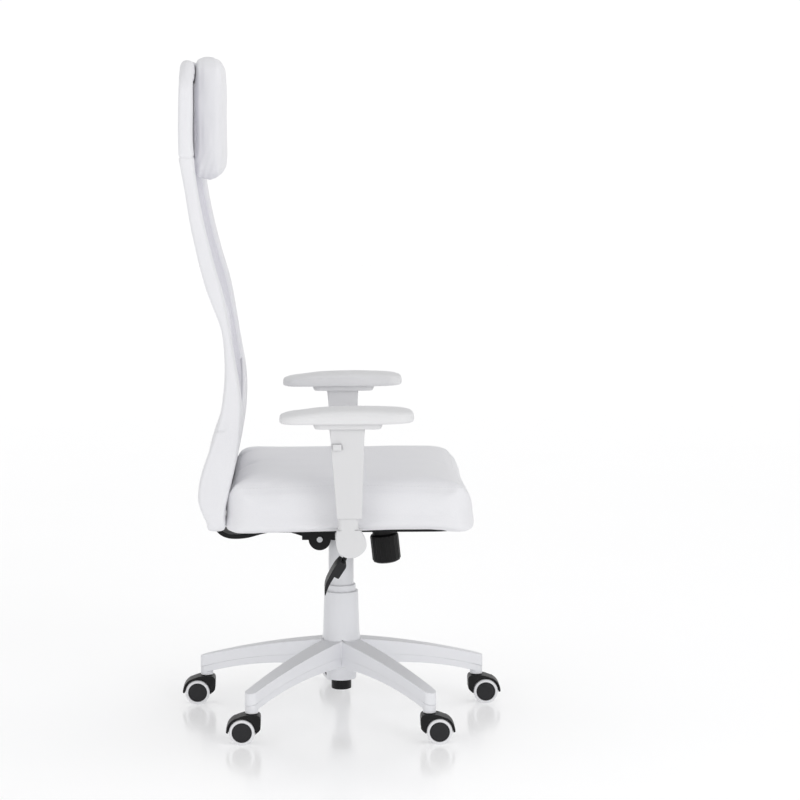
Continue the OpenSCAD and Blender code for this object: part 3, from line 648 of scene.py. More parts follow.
class Piece:
    """Ways of turning arrays of points into finished pieces of the chair."""

    @staticmethod
    def from_faces(
        name: str, points: np.ndarray, faces: np.ndarray, material: bpy.types.Material
    ) -> bpy.types.Object:
        """Makes an object from points and faces.

        Args:
            name: The piece's name.
            points: Points, one row each.
            faces: Four point numbers for each face; a repeated last number makes a triangle.
            material: Its finish.

        Returns:
            The new object, smooth shaded.
        """
        mesh = bpy.data.meshes.new(name)
        quads = [tuple(f) if f[2] != f[3] else tuple(f[:3]) for f in faces.tolist()]
        mesh.from_pydata(points.tolist(), [], quads)
        mesh.polygons.foreach_set("use_smooth", np.ones(len(mesh.polygons), bool))
        mesh.materials.append(material)
        mesh.validate()
        mesh.update()
        piece = bpy.data.objects.new(name, mesh)
        bpy.context.scene.collection.objects.link(piece)
        return piece

    @staticmethod
    def grid_faces(rows: int, columns: int, close_rows: bool, close_columns: bool) -> np.ndarray:
        """Faces of a grid of points.

        Args:
            rows: Number of rows of points.
            columns: Number of points in a row.
            close_rows: The last row joins the first.
            close_columns: The last column joins the first.

        Returns:
            Four point numbers for each face.
        """
        r = np.arange(rows if close_rows else rows - 1)
        c = np.arange(columns if close_columns else columns - 1)
        i, j = (a.ravel() for a in np.meshgrid(r, c, indexing="ij"))
        i1, j1 = (i + 1) % rows, (j + 1) % columns
        return np.stack([i * columns + j, i1 * columns + j, i1 * columns + j1, i * columns + j1], 1)

    @classmethod
    def tube_like(
        cls, name: str, rings: np.ndarray, material: bpy.types.Material,
        ends: bool = True, loop: bool = False,
    ) -> bpy.types.Object:
        """A closed skin over rings of points, with a pole at each end.

        Args:
            name: The piece's name.
            rings: Array of ring, point and axis.
            material: Its finish.
            ends: Close the two ends with poles.
            loop: The last ring joins the first.

        Returns:
            The new object with its faces outwards.
        """
        count, around, _ = rings.shape
        points = rings.reshape(-1, 3)
        faces = cls.grid_faces(count, around, loop, True)
        if ends and not loop:
            poles = np.stack([rings[0].mean(0), rings[-1].mean(0)])
            points = np.concatenate([points, poles])
            k = np.arange(around)
            k1 = (k + 1) % around
            first, last = len(points) - 2, len(points) - 1
            low = np.stack([k1, np.full(around, first), k, k], 1)[:, [0, 2, 1, 1]]
            base = (count - 1) * around
            high = np.stack([base + k, base + k1, np.full(around, last), np.full(around, last)], 1)
            faces = np.concatenate([faces, low, high])
        piece = cls.from_faces(name, points, faces, material)
        cls.face_outwards(piece)
        return piece

    @staticmethod
    def face_outwards(piece: bpy.types.Object) -> None:
        """Turns every face of a closed piece outwards."""
        work = bmesh.new()
        work.from_mesh(piece.data)
        bmesh.ops.recalc_face_normals(work, faces=work.faces)
        work.to_mesh(piece.data)
        work.free()

    @staticmethod
    def eased_copy(
        node: bpy.types.Object, ease: float, material: bpy.types.Material, corner: float = 28.0
    ) -> bpy.types.Object:
        """A copy of a CAD node with its points joined and its corners eased.

        Args:
            node: The CAD node.
            ease: Width of the eased corner in metres.
            material: Its finish.
            corner: Edges sharper than this many degrees are eased.

        Returns:
            The new object, which replaces the node.
        """
        mesh = node.data.copy()
        work = bmesh.new()
        work.from_mesh(mesh)
        bmesh.ops.remove_doubles(work, verts=work.verts, dist=JOINED)
        bmesh.ops.dissolve_limit(
            work, angle_limit=math.radians(0.6), verts=work.verts, edges=work.edges,
            use_dissolve_boundaries=False,
        )
        bmesh.ops.recalc_face_normals(work, faces=work.faces)
        work.to_mesh(mesh)
        work.free()
        if "custom_normal" in mesh.attributes:
            mesh.attributes.remove(mesh.attributes["custom_normal"])
        mesh.polygons.foreach_set("use_smooth", np.ones(len(mesh.polygons), bool))
        mesh.materials.clear()
        mesh.materials.append(material)
        piece = bpy.data.objects.new(node.name + "_finish", mesh)
        bpy.context.scene.collection.objects.link(piece)
        bevel = piece.modifiers.new("eased corners", "BEVEL")
        bevel.width, bevel.segments, bevel.limit_method = ease, 2, "ANGLE"
        bevel.angle_limit, bevel.use_clamp_overlap = math.radians(corner), False
        bevel.miter_outer = "MITER_ARC"
        shading = piece.modifiers.new("even shading", "WEIGHTED_NORMAL")
        shading.keep_sharp = True
        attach(piece, node["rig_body"])
        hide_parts(node.name)
        return piece


def tube_along(path: np.ndarray, across: np.ndarray, radius: float, sides: int = 10) -> np.ndarray:
    """Rings of a round tube: at each path point, the point plus radius times a turning direction.

    Args:
        path: Points along the tube.
        across: A direction at each point that isn't along the path.
        radius: The tube's radius.
        sides: Points round it.

    Returns:
        Array of ring, point and axis.
    """
    along = np.gradient(path, axis=0)
    along /= np.linalg.norm(along, axis=1, keepdims=True)
    first = across - (across * along).sum(1, keepdims=True) * along
    first /= np.linalg.norm(first, axis=1, keepdims=True)
    second = np.cross(along, first)
    turn = np.linspace(0, 2 * math.pi, sides, endpoint=False)[None, :, None]
    return path[:, None] + radius * (np.cos(turn) * first[:, None] + np.sin(turn) * second[:, None])


def evenly(path: np.ndarray, step: float, loop: bool = False) -> tuple[np.ndarray, np.ndarray]:
    """Points at an even step along a line of points.

    Args:
        path: The line's points.
        step: Distance between the new points.
        loop: The line ends where it starts.

    Returns:
        The new points, and each one's place in the old numbering.
    """
    line = np.concatenate([path, path[:1]]) if loop else path
    gone = np.concatenate([[0.0], np.cumsum(np.linalg.norm(np.diff(line, axis=0), axis=1))])
    count = max(2, int(round(gone[-1] / step)))
    places = np.linspace(0, gone[-1], count, endpoint=not loop)
    index = np.interp(places, gone, np.arange(len(line)))
    return np.stack([np.interp(places, gone, line[:, k]) for k in range(3)], 1), index


def stitches(
    path: np.ndarray, outward: np.ndarray, length: float, width: float
) -> tuple[np.ndarray, np.ndarray]:
    """Short rounded stitches along a line: each is an ellipsoid half sunk in the surface.

    A stitch's point is centre + along * a * length / 2 + (side * cos + outward * sin) * r * width / 2,
    where a runs from -1 to 1 and r is the square root of 1 - a squared.

    Args:
        path: Centres of the stitches.
        outward: The surface's normal at each.
        length: Length of a stitch.
        width: Its width.

    Returns:
        Points and faces of all the stitches.
    """
    along = np.gradient(path, axis=0)
    along /= np.linalg.norm(along, axis=1, keepdims=True)
    side = np.cross(outward, along)
    side /= np.maximum(np.linalg.norm(side, axis=1, keepdims=True), 1e-9)
    a = np.array([-0.98, -0.55, 0.55, 0.98])
    r = np.sqrt(1 - a**2) + 0.12
    turn = np.linspace(0, 2 * math.pi, 6, endpoint=False)
    ring = r[:, None] * width / 2
    offset = (
        along[:, None, None] * (a * length / 2)[None, :, None, None]
        + side[:, None, None] * (ring * np.cos(turn))[None, :, :, None]
        + outward[:, None, None] * (ring * np.sin(turn))[None, :, :, None]
    )
    points = path[:, None, None] + offset
    one = Piece.grid_faces(4, 6, False, True)
    caps = np.array([[0, 1, 2, 3], [0, 3, 4, 5], [21, 20, 19, 18], [23, 22, 21, 18]])
    one = np.concatenate([one, caps])
    faces = (one[None] + (np.arange(len(path)) * 24)[:, None, None]).reshape(-1, 4)
    return points.reshape(-1, 3), faces


class Surface:
    """A finished piece's skin, for laying seams and stitches on it."""

    def __init__(self, piece: bpy.types.Object) -> None:
        """Builds the search tree of the piece as shown."""
        shown = piece.evaluated_get(bpy.context.evaluated_depsgraph_get())
        mesh = shown.to_mesh()
        co = np.zeros(len(mesh.vertices) * 3, np.float32)
        mesh.vertices.foreach_get("co", co)
        faces = [tuple(p.vertices) for p in mesh.polygons]
        self.tree = BVHTree.FromPolygons(co.reshape(-1, 3).tolist(), faces)
        shown.to_mesh_clear()

    def meet(self, start: np.ndarray, toward: np.ndarray) -> tuple[np.ndarray, np.ndarray]:
        """Where rays meet the skin.

        Args:
            start: Start of each ray.
            toward: Direction of each ray.

        Returns:
            The points met and the normals there; a ray that misses is left out.
        """
        hits = [self.tree.ray_cast(Vector(s), Vector(t)) for s, t in zip(start, toward)]
        found = [(h[0], h[1]) for h in hits if h[0] is not None]
        return np.array([f[0] for f in found], float), np.array([f[1] for f in found], float)


def stuffed(
    piece: bpy.types.Object, voxel: float, pressure: float, reach: float, free: np.ndarray | None = None
) -> None:
    """Swells a closed piece as padded fabric: it is cut to even cells and blown up by a cloth simulation.

    Args:
        piece: The piece, which is changed.
        voxel: Cell size of the new skin.
        pressure: The stuffing's pressure.
        reach: How far a point may move.
        free: Lowest and highest height between which the skin goes from held to free.
    """
    bpy.context.view_layer.objects.active = piece
    remesh = piece.modifiers.new("cells", "REMESH")
    remesh.mode, remesh.voxel_size, remesh.use_smooth_shade = "VOXEL", voxel, True
    apply_modifiers(piece)
    rest = coordinates(piece)
    cloth = piece.modifiers.new("stuffing", "CLOTH")
    cloth.settings.use_pressure = True
    cloth.settings.uniform_pressure_force = pressure
    cloth.settings.mass = 0.35
    cloth.settings.tension_stiffness = cloth.settings.compression_stiffness = 18
    cloth.settings.bending_stiffness = 2.0
    cloth.settings.quality = 6
    cloth.settings.effector_weights.gravity = 0
    cloth.point_cache.frame_start, cloth.point_cache.frame_end = 1, CLOTH_FRAMES
    for frame_number in range(1, CLOTH_FRAMES + 1):
        bpy.context.scene.frame_set(frame_number)
    shown = piece.evaluated_get(bpy.context.evaluated_depsgraph_get())
    swollen = np.zeros(len(shown.data.vertices) * 3, np.float32)
    shown.data.vertices.foreach_get("co", swollen)
    piece.modifiers.clear()
    bpy.context.scene.frame_set(1)
    move = swollen.reshape(-1, 3).astype(float) - rest
    length = np.maximum(np.linalg.norm(move, axis=1, keepdims=True), 1e-12)
    move *= np.minimum(1.0, reach / length)
    if free is not None:
        share = np.clip((rest[:, 2] - free[0]) / (free[1] - free[0]), 0, 1)
        move *= (share * share * (3 - 2 * share))[:, None]
    write_coordinates(piece, rest + move)


def coordinates(piece: bpy.types.Object) -> np.ndarray:
    """The points of a piece's own mesh."""
    co = np.zeros(len(piece.data.vertices) * 3, np.float32)
    piece.data.vertices.foreach_get("co", co)
    return co.reshape(-1, 3).astype(float)


def write_coordinates(piece: bpy.types.Object, points: np.ndarray) -> None:
    """Puts points back into a piece's mesh."""
    piece.data.vertices.foreach_set("co", points.astype(np.float32).ravel())
    piece.data.update()


def point_normals(piece: bpy.types.Object) -> np.ndarray:
    """The normal at each point of a piece's mesh."""
    normals = np.zeros(len(piece.data.vertices) * 3, np.float32)
    piece.data.vertices.foreach_get("normal", normals)
    return normals.reshape(-1, 3).astype(float)


def apply_modifiers(piece: bpy.types.Object) -> None:
    """Makes a piece's modifiers part of its mesh."""
    shown = piece.evaluated_get(bpy.context.evaluated_depsgraph_get())
    mesh = bpy.data.meshes.new_from_object(shown)
    old = piece.data
    piece.modifiers.clear()
    piece.data = mesh
    bpy.data.meshes.remove(old)
    mesh.polygons.foreach_set("use_smooth", np.ones(len(mesh.polygons), bool))


def relaxed(piece: bpy.types.Object, rounds: int, strength: float = 0.5) -> None:
    """Evens out a piece's skin with a smoothing pass.

    Args:
        piece: The piece, which is changed.
        rounds: Number of rounds.
        strength: How far a point goes to the middle of its neighbours.
    """
    smooth = piece.modifiers.new("even", "SMOOTH")
    smooth.factor, smooth.iterations = strength, rounds
    apply_modifiers(piece)


def finer(piece: bpy.types.Object) -> None:
    """Adds one level of subdivision and makes it part of the mesh."""
    subdivision = piece.modifiers.new("finer", "SUBSURF")
    subdivision.levels = subdivision.render_levels = 1
    apply_modifiers(piece)


def fitted(piece: bpy.types.Object, low: Vector, high: Vector) -> None:
    """Brings a swollen piece back to its CAD box.

    Each point goes to low + (point - own low) * (high - low) / (own high - own low).

    Args:
        piece: The piece, which is changed.
        low: Lowest corner of the box.
        high: Highest corner of the box.
    """
    co = coordinates(piece)
    own_low, own_high = co.min(0), co.max(0)
    share = (co - own_low) / (own_high - own_low)
    write_coordinates(piece, np.array(low) + share * (np.array(high) - np.array(low)))


def bell(distance: np.ndarray, width: float) -> np.ndarray:
    """1 at no distance, falling smoothly to 0 as a bell of that width."""
    return np.exp(-((distance / width) ** 2))


def cut_profile(
    node: bpy.types.Object, places: np.ndarray, cut: int = 2, across: int = 1
) -> tuple[np.ndarray, np.ndarray]:
    """The two edges of a CAD node where planes cut its triangles.

    Args:
        node: The CAD node.
        places: Places of the planes on their axis.
        cut: The axis that the planes are square to: 2 for level planes.
        across: The axis that is measured.

    Returns:
        The smallest and the largest measure of the cut at each place.
    """
    mesh = node.data
    mesh.calc_loop_triangles()
    index = np.zeros(len(mesh.loop_triangles) * 3, np.int32)
    mesh.loop_triangles.foreach_get("vertices", index)
    corner = coordinates(node)[index].reshape(-1, 3, 3)
    start = corner.reshape(-1, 3)
    end = np.roll(corner, -1, axis=1).reshape(-1, 3)
    least, most = np.zeros(len(places)), np.zeros(len(places))
    for i, place in enumerate(places):
        crosses = (start[:, cut] - place) * (end[:, cut] - place) < 0
        a, b = start[crosses], end[crosses]
        at = (place - a[:, cut]) / (b[:, cut] - a[:, cut])
        measure = a[:, across] + at * (b[:, across] - a[:, across])
        least[i], most[i] = (measure.min(), measure.max()) if len(measure) else (np.nan, np.nan)
    good = ~np.isnan(least)
    return np.interp(places, places[good], least[good]), np.interp(places, places[good], most[good])


def creases(points: np.ndarray, scale: float, seed: int = 3) -> np.ndarray:
    """Soft irregular folds: the mean of eight sine waves that run in fixed scattered directions.

    Args:
        points: Points of a surface.
        scale: Rough length of one fold.
        seed: Picks the directions, so that pieces differ.

    Returns:
        A value from about -1 to 1 for each point.
    """
    rng = np.random.default_rng(seed)
    directions = rng.normal(size=(8, 3))
    directions *= (2 * math.pi / scale) / np.linalg.norm(directions, axis=1, keepdims=True)
    phase = rng.random(8) * 6.28
    return np.sin(points @ directions.T * rng.uniform(0.6, 1.5, 8) + phase).mean(-1) * 1.8


def rounded_section(arc: int, flat: int) -> tuple[np.ndarray, np.ndarray]:
    """A rounded rectangle as factors: a point is side * (half - radius) + round * radius.

    Args:
        arc: Steps in each corner.
        flat: Steps along each flat.

    Returns:
        The side factors and the round factors, each an array of point and axis.
    """
    sides, rounds = [], []
    corners = [(1, 1, 0), (-1, 1, 90), (-1, -1, 180), (1, -1, 270)]
    for i, (sx, sy, first) in enumerate(corners):
        angle = np.radians(first + np.linspace(0, 90, arc + 1))
        rounds.append(np.stack([np.cos(angle), np.sin(angle)], 1))
        sides.append(np.tile([float(sx), float(sy)], (arc + 1, 1)))
        nx, ny, _ = corners[(i + 1) % 4]
        t = np.linspace(0, 1, flat + 1)[1:-1, None]
        sides.append(np.array([[sx, sy]]) * (1 - t) + np.array([[nx, ny]]) * t)
        rounds.append(np.tile(rounds[-1][-1], (flat - 1, 1)))
    return np.concatenate(sides), np.concatenate(rounds)


# The back -----------------------------------------------------------------------------------


@dataclass
class Back:
    """Leather-look border, lower panel, mesh and headrest, which all ride on the back."""

    frame: dict
    paint: Paint
    corner: float = 62 * MM
    taper: float = 8 * MM
    edge_radius: float = 6 * MM
    top_radius: float = 12 * MM
    crown_share: float = 0.05
    end_round: float = 14 * MM
    panel_crown: float = 3 * MM
    piping: float = 2.6 * MM
    stitch_side: float = -0.6
    tuck_in: float = 7 * MM
    headrest_sink: float = 3.5 * MM
    low_end_rise: float = 38 * MM
    low_end_tuck: float = 12 * MM
    seam_drop: float = 0.181
    crease_rise: float = 0.191
    panel_thick: float = 24 * MM
    panel_radius: float = 9 * MM
    panel_set_back: float = 1.5 * MM

    def __post_init__(self) -> None:
        """Measures the back's outline and its side profile on the CAD nodes."""
        low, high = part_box("back_rail_right")
        _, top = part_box("back_top_rail")
        self.half = -low.x
        self.border = high.x - low.x
        self.inner = self.half - self.border
        self.low_z, self.top_z = low.z, top.z
        self.heights = np.linspace(low.z + 0.6 * MM, high.z - 14 * MM, 420)
        rail = self.frame["nodes"]["back_rail_right"]
        self.front, self.rear = cut_profile(rail, self.heights)
        mesh_low, mesh_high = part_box("back_mesh")
        self.mesh_mid_z, self.mesh_top_z = mesh_low.z, mesh_high.z
        self.mesh_heights = np.linspace(mesh_low.z + MM, mesh_high.z - MM, 260)
        near, far = cut_profile(self.frame["nodes"]["back_mesh"], self.mesh_heights)
        self.mesh_y = (near + far) / 2
        self.mesh_side_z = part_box("lower_back_panel")[1].z
        self.panel_low_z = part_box("lower_back_panel")[0].z
        self.seam_z = self.top_z - self.seam_drop
        self.crease_z = self.low_z + self.crease_rise

    def front_at(self, z: np.ndarray) -> np.ndarray:
        """The y of the back's front edge at each height."""
        return np.interp(z, self.heights, self.front)

    def rear_at(self, z: np.ndarray) -> np.ndarray:
        """The y of the back's rear edge at each height."""
        return np.interp(z, self.heights, self.rear)

    def panel_top(self, x: np.ndarray) -> np.ndarray:
        """Height of the lower panel's top edge: a V with a softened point."""
        soft = 12 * MM
        slope = (self.mesh_side_z - self.mesh_mid_z) / (self.inner - soft)
        return self.mesh_mid_z + slope * (np.sqrt(x**2 + soft**2) - soft)

    def centre_line(self) -> np.ndarray:
        """The border's middle line in X and Z: up the right side, round both corners, down the left.

        Returns:
            Points along the line.
        """
        inset = self.border / 2
        bend_z = self.top_z - self.corner
        z = np.linspace(self.low_z + 0.4 * MM, bend_z, 400)
        share = (z - self.low_z) / (bend_z - self.low_z)
        tuck = np.clip(1 - (z - self.low_z) / self.low_end_rise, 0, 1) ** 2 * self.low_end_tuck
        x = -(self.half - inset) + self.taper * share + tuck
        turn = np.radians(np.linspace(180, 90, 60))[1:]
        centre_x = -(self.half - self.taper - self.corner)
        radius = self.corner - inset
        arc = np.stack([centre_x + radius * np.cos(turn), bend_z + radius * np.sin(turn)], 1)
        right = np.concatenate([np.stack([x, z], 1), arc])
        return np.concatenate([right, right[::-1] * [-1, 1]])

    def border_rings(self) -> tuple[np.ndarray, np.ndarray, np.ndarray]:
        """Rings of the border: at each point of its middle line, a rounded section as deep as the back.

        A ring's point is line + outward * across, at a y between the front and rear edges at its own
        height. The seams press it in, and the leather swells a little beside them.

        Returns:
            The rings, the distance along the line, and the section's side factors.
        """
        line = self.centre_line()
        fine_step = 0.5 * MM
        dense, _ = evenly(np.insert(line, 1, 0.0, axis=1), fine_step)
        gone = np.arange(len(dense)) * fine_step
        even = np.arange(0, gone[-1], 4 * MM)
        fine = np.array([-6, -3, -1.6, -0.7, 0, 0.7, 1.6, 3, 6]) * MM
        marks = [s for z in (self.seam_z, self.crease_z)
                 for s in (z - self.low_z, gone[-1] - (z - self.low_z))]
        extra = np.concatenate([m + fine for m in marks])
        clear = np.min(np.abs(even[:, None] - extra[None]), axis=1) > 1.5 * MM
        ends = np.array([0.0, 0.8, 2.0]) * MM
        s = np.unique(np.concatenate([even[clear], extra, ends, gone[-1] - ends]))
        s = s[(s >= 0) & (s <= gone[-1])]
        path = np.stack([np.interp(s, gone, dense[:, 0]), np.interp(s, gone, dense[:, 2])], 1)
        along = np.gradient(path, s, axis=0)
        along /= np.linalg.norm(along, axis=1, keepdims=True)
        outward = np.stack([-along[:, 1], along[:, 0]], 1)
        side, round_ = rounded_section(6, 10)
        half_across = self.border / 2
        z_mid = np.maximum(path[:, 1], self.low_z + self.end_round)
        depth = (self.rear_at(z_mid) - self.front_at(z_mid)) / 2
        toward_top = np.clip((z_mid - self.top_z + self.corner) / (self.corner - half_across), 0, 1)
        wanted = self.edge_radius + (self.top_radius - self.edge_radius) * toward_top
        radius = np.minimum(wanted, 0.92 * np.minimum(depth, half_across))[:, None]
        inside = np.minimum(s, gone[-1] - s)
        shut = np.sqrt(1 - np.clip(1 - inside / self.end_round, 0, 0.97) ** 2)[:, None]
        across = side[None, :, 0] * (half_across - radius) + round_[None, :, 0] * radius
        bulge = self.crown_share * 2 * (depth[:, None] - radius) * (1 - side[None, :, 1] ** 2)
        across = across + np.abs(round_[None, :, 0]) * np.sign(side[None, :, 0]) * bulge
        x = path[:, None, 0] + outward[:, None, 0] * across * shut
        z = path[:, None, 1] + outward[:, None, 1] * across * shut
        clear_z = np.maximum(z, self.low_z + self.end_round)
        front, rear = self.front_at(clear_z), self.rear_at(clear_z)
        half_deep = (rear - front) / 2
        away = side[None, :, 1] * (half_deep - radius) + round_[None, :, 1] * radius
        bulge = self.crown_share * 2 * (half_across - radius) * (1 - side[None, :, 0] ** 2)
        away = away + np.abs(round_[None, :, 1]) * np.sign(side[None, :, 1]) * bulge
        y = (front + rear) / 2 + away * shut
        rings = np.stack([x, y, z], 2)
        rings = rings + self.border_relief(rings, side, round_) * self.ring_normals(rings)
        return rings, s, side

    @staticmethod
    def ring_normals(rings: np.ndarray) -> np.ndarray:
        """Outward unit normals of closed rings, pointing away from each ring's middle."""
        down = np.gradient(rings, axis=0)
        across = (np.roll(rings, -1, axis=1) - np.roll(rings, 1, axis=1)) / 2
        normal = np.cross(down, across)
        normal /= np.maximum(np.linalg.norm(normal, axis=2, keepdims=True), 1e-12)
        away = rings - rings.mean(axis=1, keepdims=True)
        return normal * np.sign((normal * away).sum(2, keepdims=True) + 1e-12)

    def border_relief(self, rings: np.ndarray, side: np.ndarray, round_: np.ndarray) -> np.ndarray:
        """How far the border's skin stands out: seams press it in and folds lift it.

        Args:
            rings: The border's rings.
            side: Side factors of the section.
            round_: Round factors of the section.

        Returns:
            The distance at each point, with one more axis.
        """
        z = rings[:, :, 2]
        seam = z - self.seam_z
        relief = -1.5 * MM * bell(seam, 1.5 * MM) + 0.5 * MM * bell(np.abs(seam) - 7 * MM, 5 * MM)
        rear_half = np.clip(side[None, :, 1] * 2, 0, 1) * (np.abs(round_[None, :, 0]) > 0.5)
        bowed = z - self.crease_z - 9 * MM * (1 - side[None, :, 1]) ** 2
        relief = relief - 1.9 * MM * bell(bowed, 1.9 * MM) * rear_half
        relief = relief + 0.9 * MM * bell(bowed + 7 * MM, 5 * MM) * rear_half
        relief = relief + 0.45 * MM * creases(rings * np.array([1.0, 1.0, 0.5]), 38 * MM)
        inner_front = (round_[None, :, 1] < -0.99) & (side[None, :, 1] < -0.9)
        line = bell(side[None, :, 0] - self.stitch_side, 0.16)
        return (relief - 0.8 * MM * line * inner_front)[..., None]

    def build_border(self) -> None:
        """Makes the border with its row of stitches along the inner front edge."""
        rings, _, side = self.border_rings()
        border = Piece.tube_like("back_border", rings, self.paint.leather)
        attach(border, "back")
        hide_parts("back_rail_right", "back_rail_left", "back_top_rail")
        flat = np.where((side[:, 1] < -0.9) & (np.abs(side[:, 0] - self.stitch_side) < 0.15))[0]
        column = flat[np.argmin(np.abs(side[flat, 0] - self.stitch_side))]
        path = rings[3:-3, column]
        normals = self.ring_normals(rings)[3:-3, column]
        even, index = evenly(path, STITCH + STITCH_GAP)
        outward = np.stack([np.interp(index, np.arange(len(normals)), normals[:, k]) for k in range(3)], 1)
        points, faces = stitches(even, outward, STITCH, THREAD)
        thread = Piece.from_faces("back_border_stitches", points, faces, self.paint.thread)
        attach(thread, "back")
        log.info("back border: %d rings, %d stitches", len(rings), len(even))

    def build_panel(self) -> None:
        """Makes the padded lower panel and the piping on its top edge.

        The panel's two skins are grids over its width and height. Near its edges each skin curves in
        on a quarter circle, and in its middle it swells by the crown.
        """
        radius = self.panel_radius
        wide, tall = 110, 90
        p = np.sin(np.linspace(-1, 1, wide) * math.pi / 2)[None, :] * np.ones((tall, 1))
        q = np.sin(np.linspace(-1, 1, tall) * math.pi / 2)[:, None] * np.ones((1, wide))
        half = self.inner + self.tuck_in
        x = p * half
        low, high = self.panel_low_z, self.panel_top(x)
        z = low + (high - low) * (q + 1) / 2
        edge = np.minimum(z - low, high - z)
        drop = radius - np.sqrt(np.maximum(radius**2 - np.clip(radius - edge, 0, radius) ** 2, 0))
        swell = self.panel_crown * (1 - p**4) * (1 - q**4)
        fold = 0.5 * MM * creases(np.stack([x, 0 * x, z], 2), 60 * MM, 8)
        fold = fold * np.clip(edge / radius, 0, 1)
        front = self.front_at(z) + self.panel_set_back + drop - swell - fold
        rear = self.front_at(z) + self.panel_thick - drop
        near = np.stack([x, front, z], 2)
        far = np.stack([x, rear, z], 2)
        faces = Piece.grid_faces(tall, wide, False, False)
        count = tall * wide
        grid = np.arange(count).reshape(tall, wide)
        rim = np.concatenate([grid[0, :-1], grid[:-1, -1], grid[-1, :0:-1], grid[:0:-1, 0]])
        after = np.roll(rim, -1)
        wall = np.stack([rim, after, after + count, rim + count], 1)
        points = np.concatenate([near.reshape(-1, 3), far.reshape(-1, 3)])
        everything = np.concatenate([faces, faces[:, ::-1] + count, wall])
        panel = Piece.from_faces("lower_panel", points, everything, self.paint.leather)
        Piece.face_outwards(panel)
        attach(panel, "back")
        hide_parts("lower_back_panel")
        across = np.linspace(-half, half, 120)
        top = self.panel_top(across)
        path = np.stack([across, self.front_at(top) + 3.5 * MM, top + 0.5 * MM], 1)
        rings = tube_along(path, np.tile([0.0, 0.0, 1.0], (len(path), 1)), self.piping, 12)
        piping = Piece.tube_like("panel_piping", rings, self.paint.leather)
        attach(piping, "back")
        row = top - 8 * MM
        line = np.stack([across, self.front_at(row) + 0.4 * MM, row], 1)
        even, _ = evenly(line[4:-4], STITCH + STITCH_GAP)
        surface = Surface(panel)
        met, outward = surface.meet(even - [0, 30 * MM, 0], np.tile([0.0, 1.0, 0.0], (len(even), 1)))
        points, faces = stitches(met, outward, STITCH, THREAD)
        thread = Piece.from_faces("panel_stitches", points, faces, self.paint.thread)
        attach(thread, "back")
        log.info("lower panel: %d points", len(points))

    def build_mesh(self) -> None:
        """Makes the stretched mesh: a grid that follows the CAD sheet's y and bows back in its middle."""
        wide, tall = 90, 190
        side_lap, end_lap, deepest_bow = 4 * MM, 5 * MM, 4 * MM
        half = self.inner + side_lap
        x = np.linspace(-half, half, wide)[None, :] * np.ones((tall, 1))
        low = self.panel_top(x) - end_lap
        z = low + (self.mesh_top_z + end_lap - low) * np.linspace(0, 1, tall)[:, None]
        bow = deepest_bow * (1 - (x / half) ** 2)
        y = np.interp(z, self.mesh_heights, self.mesh_y) + bow
        points = np.stack([x, y, z], 2)
        faces = Piece.grid_faces(tall, wide, False, False)
        sheet = Piece.from_faces("back_mesh_sheet", points.reshape(-1, 3), faces, self.paint.mesh)
        steps = np.linalg.norm(np.diff(points, axis=0), axis=2)
        rise = np.concatenate([np.zeros((1, wide)), np.cumsum(steps, 0)]) + low - low.min()
        layer = sheet.data.uv_layers.new(name="metres")
        index = np.zeros(len(sheet.data.loops), np.int32)
        sheet.data.loops.foreach_get("vertex_index", index)
        uv = np.stack([x.ravel(), rise.ravel()], 1)[index]
        layer.data.foreach_set("uv", uv.astype(np.float32).ravel())
        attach(sheet, "back")
        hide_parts("back_mesh")
        length = float(rise[:, wide // 2].max() - rise[:, 0].min())
        tallest = float(max(rise.max() - rise.min(), length))

    def build_headrest(self) -> None:
        """Makes the headrest as a stuffed pillow with a pressed seam, its plate let into the rear."""
        node = self.frame["nodes"]["headrest_pad"]
        low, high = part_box("headrest_pad")
        pillow = Cushion.from_node("headrest", node, self.paint.pad_leather, 1.5 * MM)
        stuffed(pillow, 4.5 * MM, 4.0, 3.5 * MM)
        relaxed(pillow, 3)
        back = Vector((0.0, self.headrest_sink, 0.0))
        fitted(pillow, low + back, high + back)
        co = coordinates(pillow)
        middle = (np.array(low) + np.array(high)) / 2
        half_size = (np.array(high) - np.array(low)) / 2
        place = (co - middle) / half_size
        rim = np.maximum(np.abs(place[:, 0]), np.abs(place[:, 2]))
        seam_y = high.y - 10 * MM
        press = 1.2 * MM * bell(co[:, 1] - seam_y, 2.2 * MM) * (rim > 0.8)
        low_corners = sum(
            np.clip(1 - np.linalg.norm((place[:, [0, 2]] - [[side, -0.85]]) * [1.2, 1], axis=1) / 0.5, 0, 1)
            for side in (-0.8, 0.8)
        )
        ripple = np.sin(co[:, 1] * 520 + co[:, 2] * 160)
        pucker = 1.6 * MM * ripple * low_corners * (place[:, 1] > -0.2)
        wave = 1.3 * MM * np.sin(place[:, 2] * 6.5) * (place[:, 1] > 0.5)
        fold = 0.6 * MM * creases(co, 55 * MM, 5)
        moved = co + point_normals(pillow) * (pucker + wave + fold - press)[:, None]
        plate_low, plate_high = (np.array(c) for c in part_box("headrest_bracket"))
        beyond = np.maximum(plate_low - moved, moved - plate_high)[:, [0, 2]].max(1)
        gap = 0.3 * MM
        recess = np.where(beyond < 3 * MM, plate_low[1] - gap, np.inf)
        moved[:, 1] = np.minimum(moved[:, 1], recess)
        write_coordinates(pillow, moved)
        finer(pillow)
        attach(pillow, "back")
        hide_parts("headrest_pad")
        log.info("headrest: %d points", len(pillow.data.vertices))

    def build(self) -> None:
        """Makes every piece of the back."""
        self.build_border()
        self.build_panel()
        self.build_mesh()
        self.build_headrest()


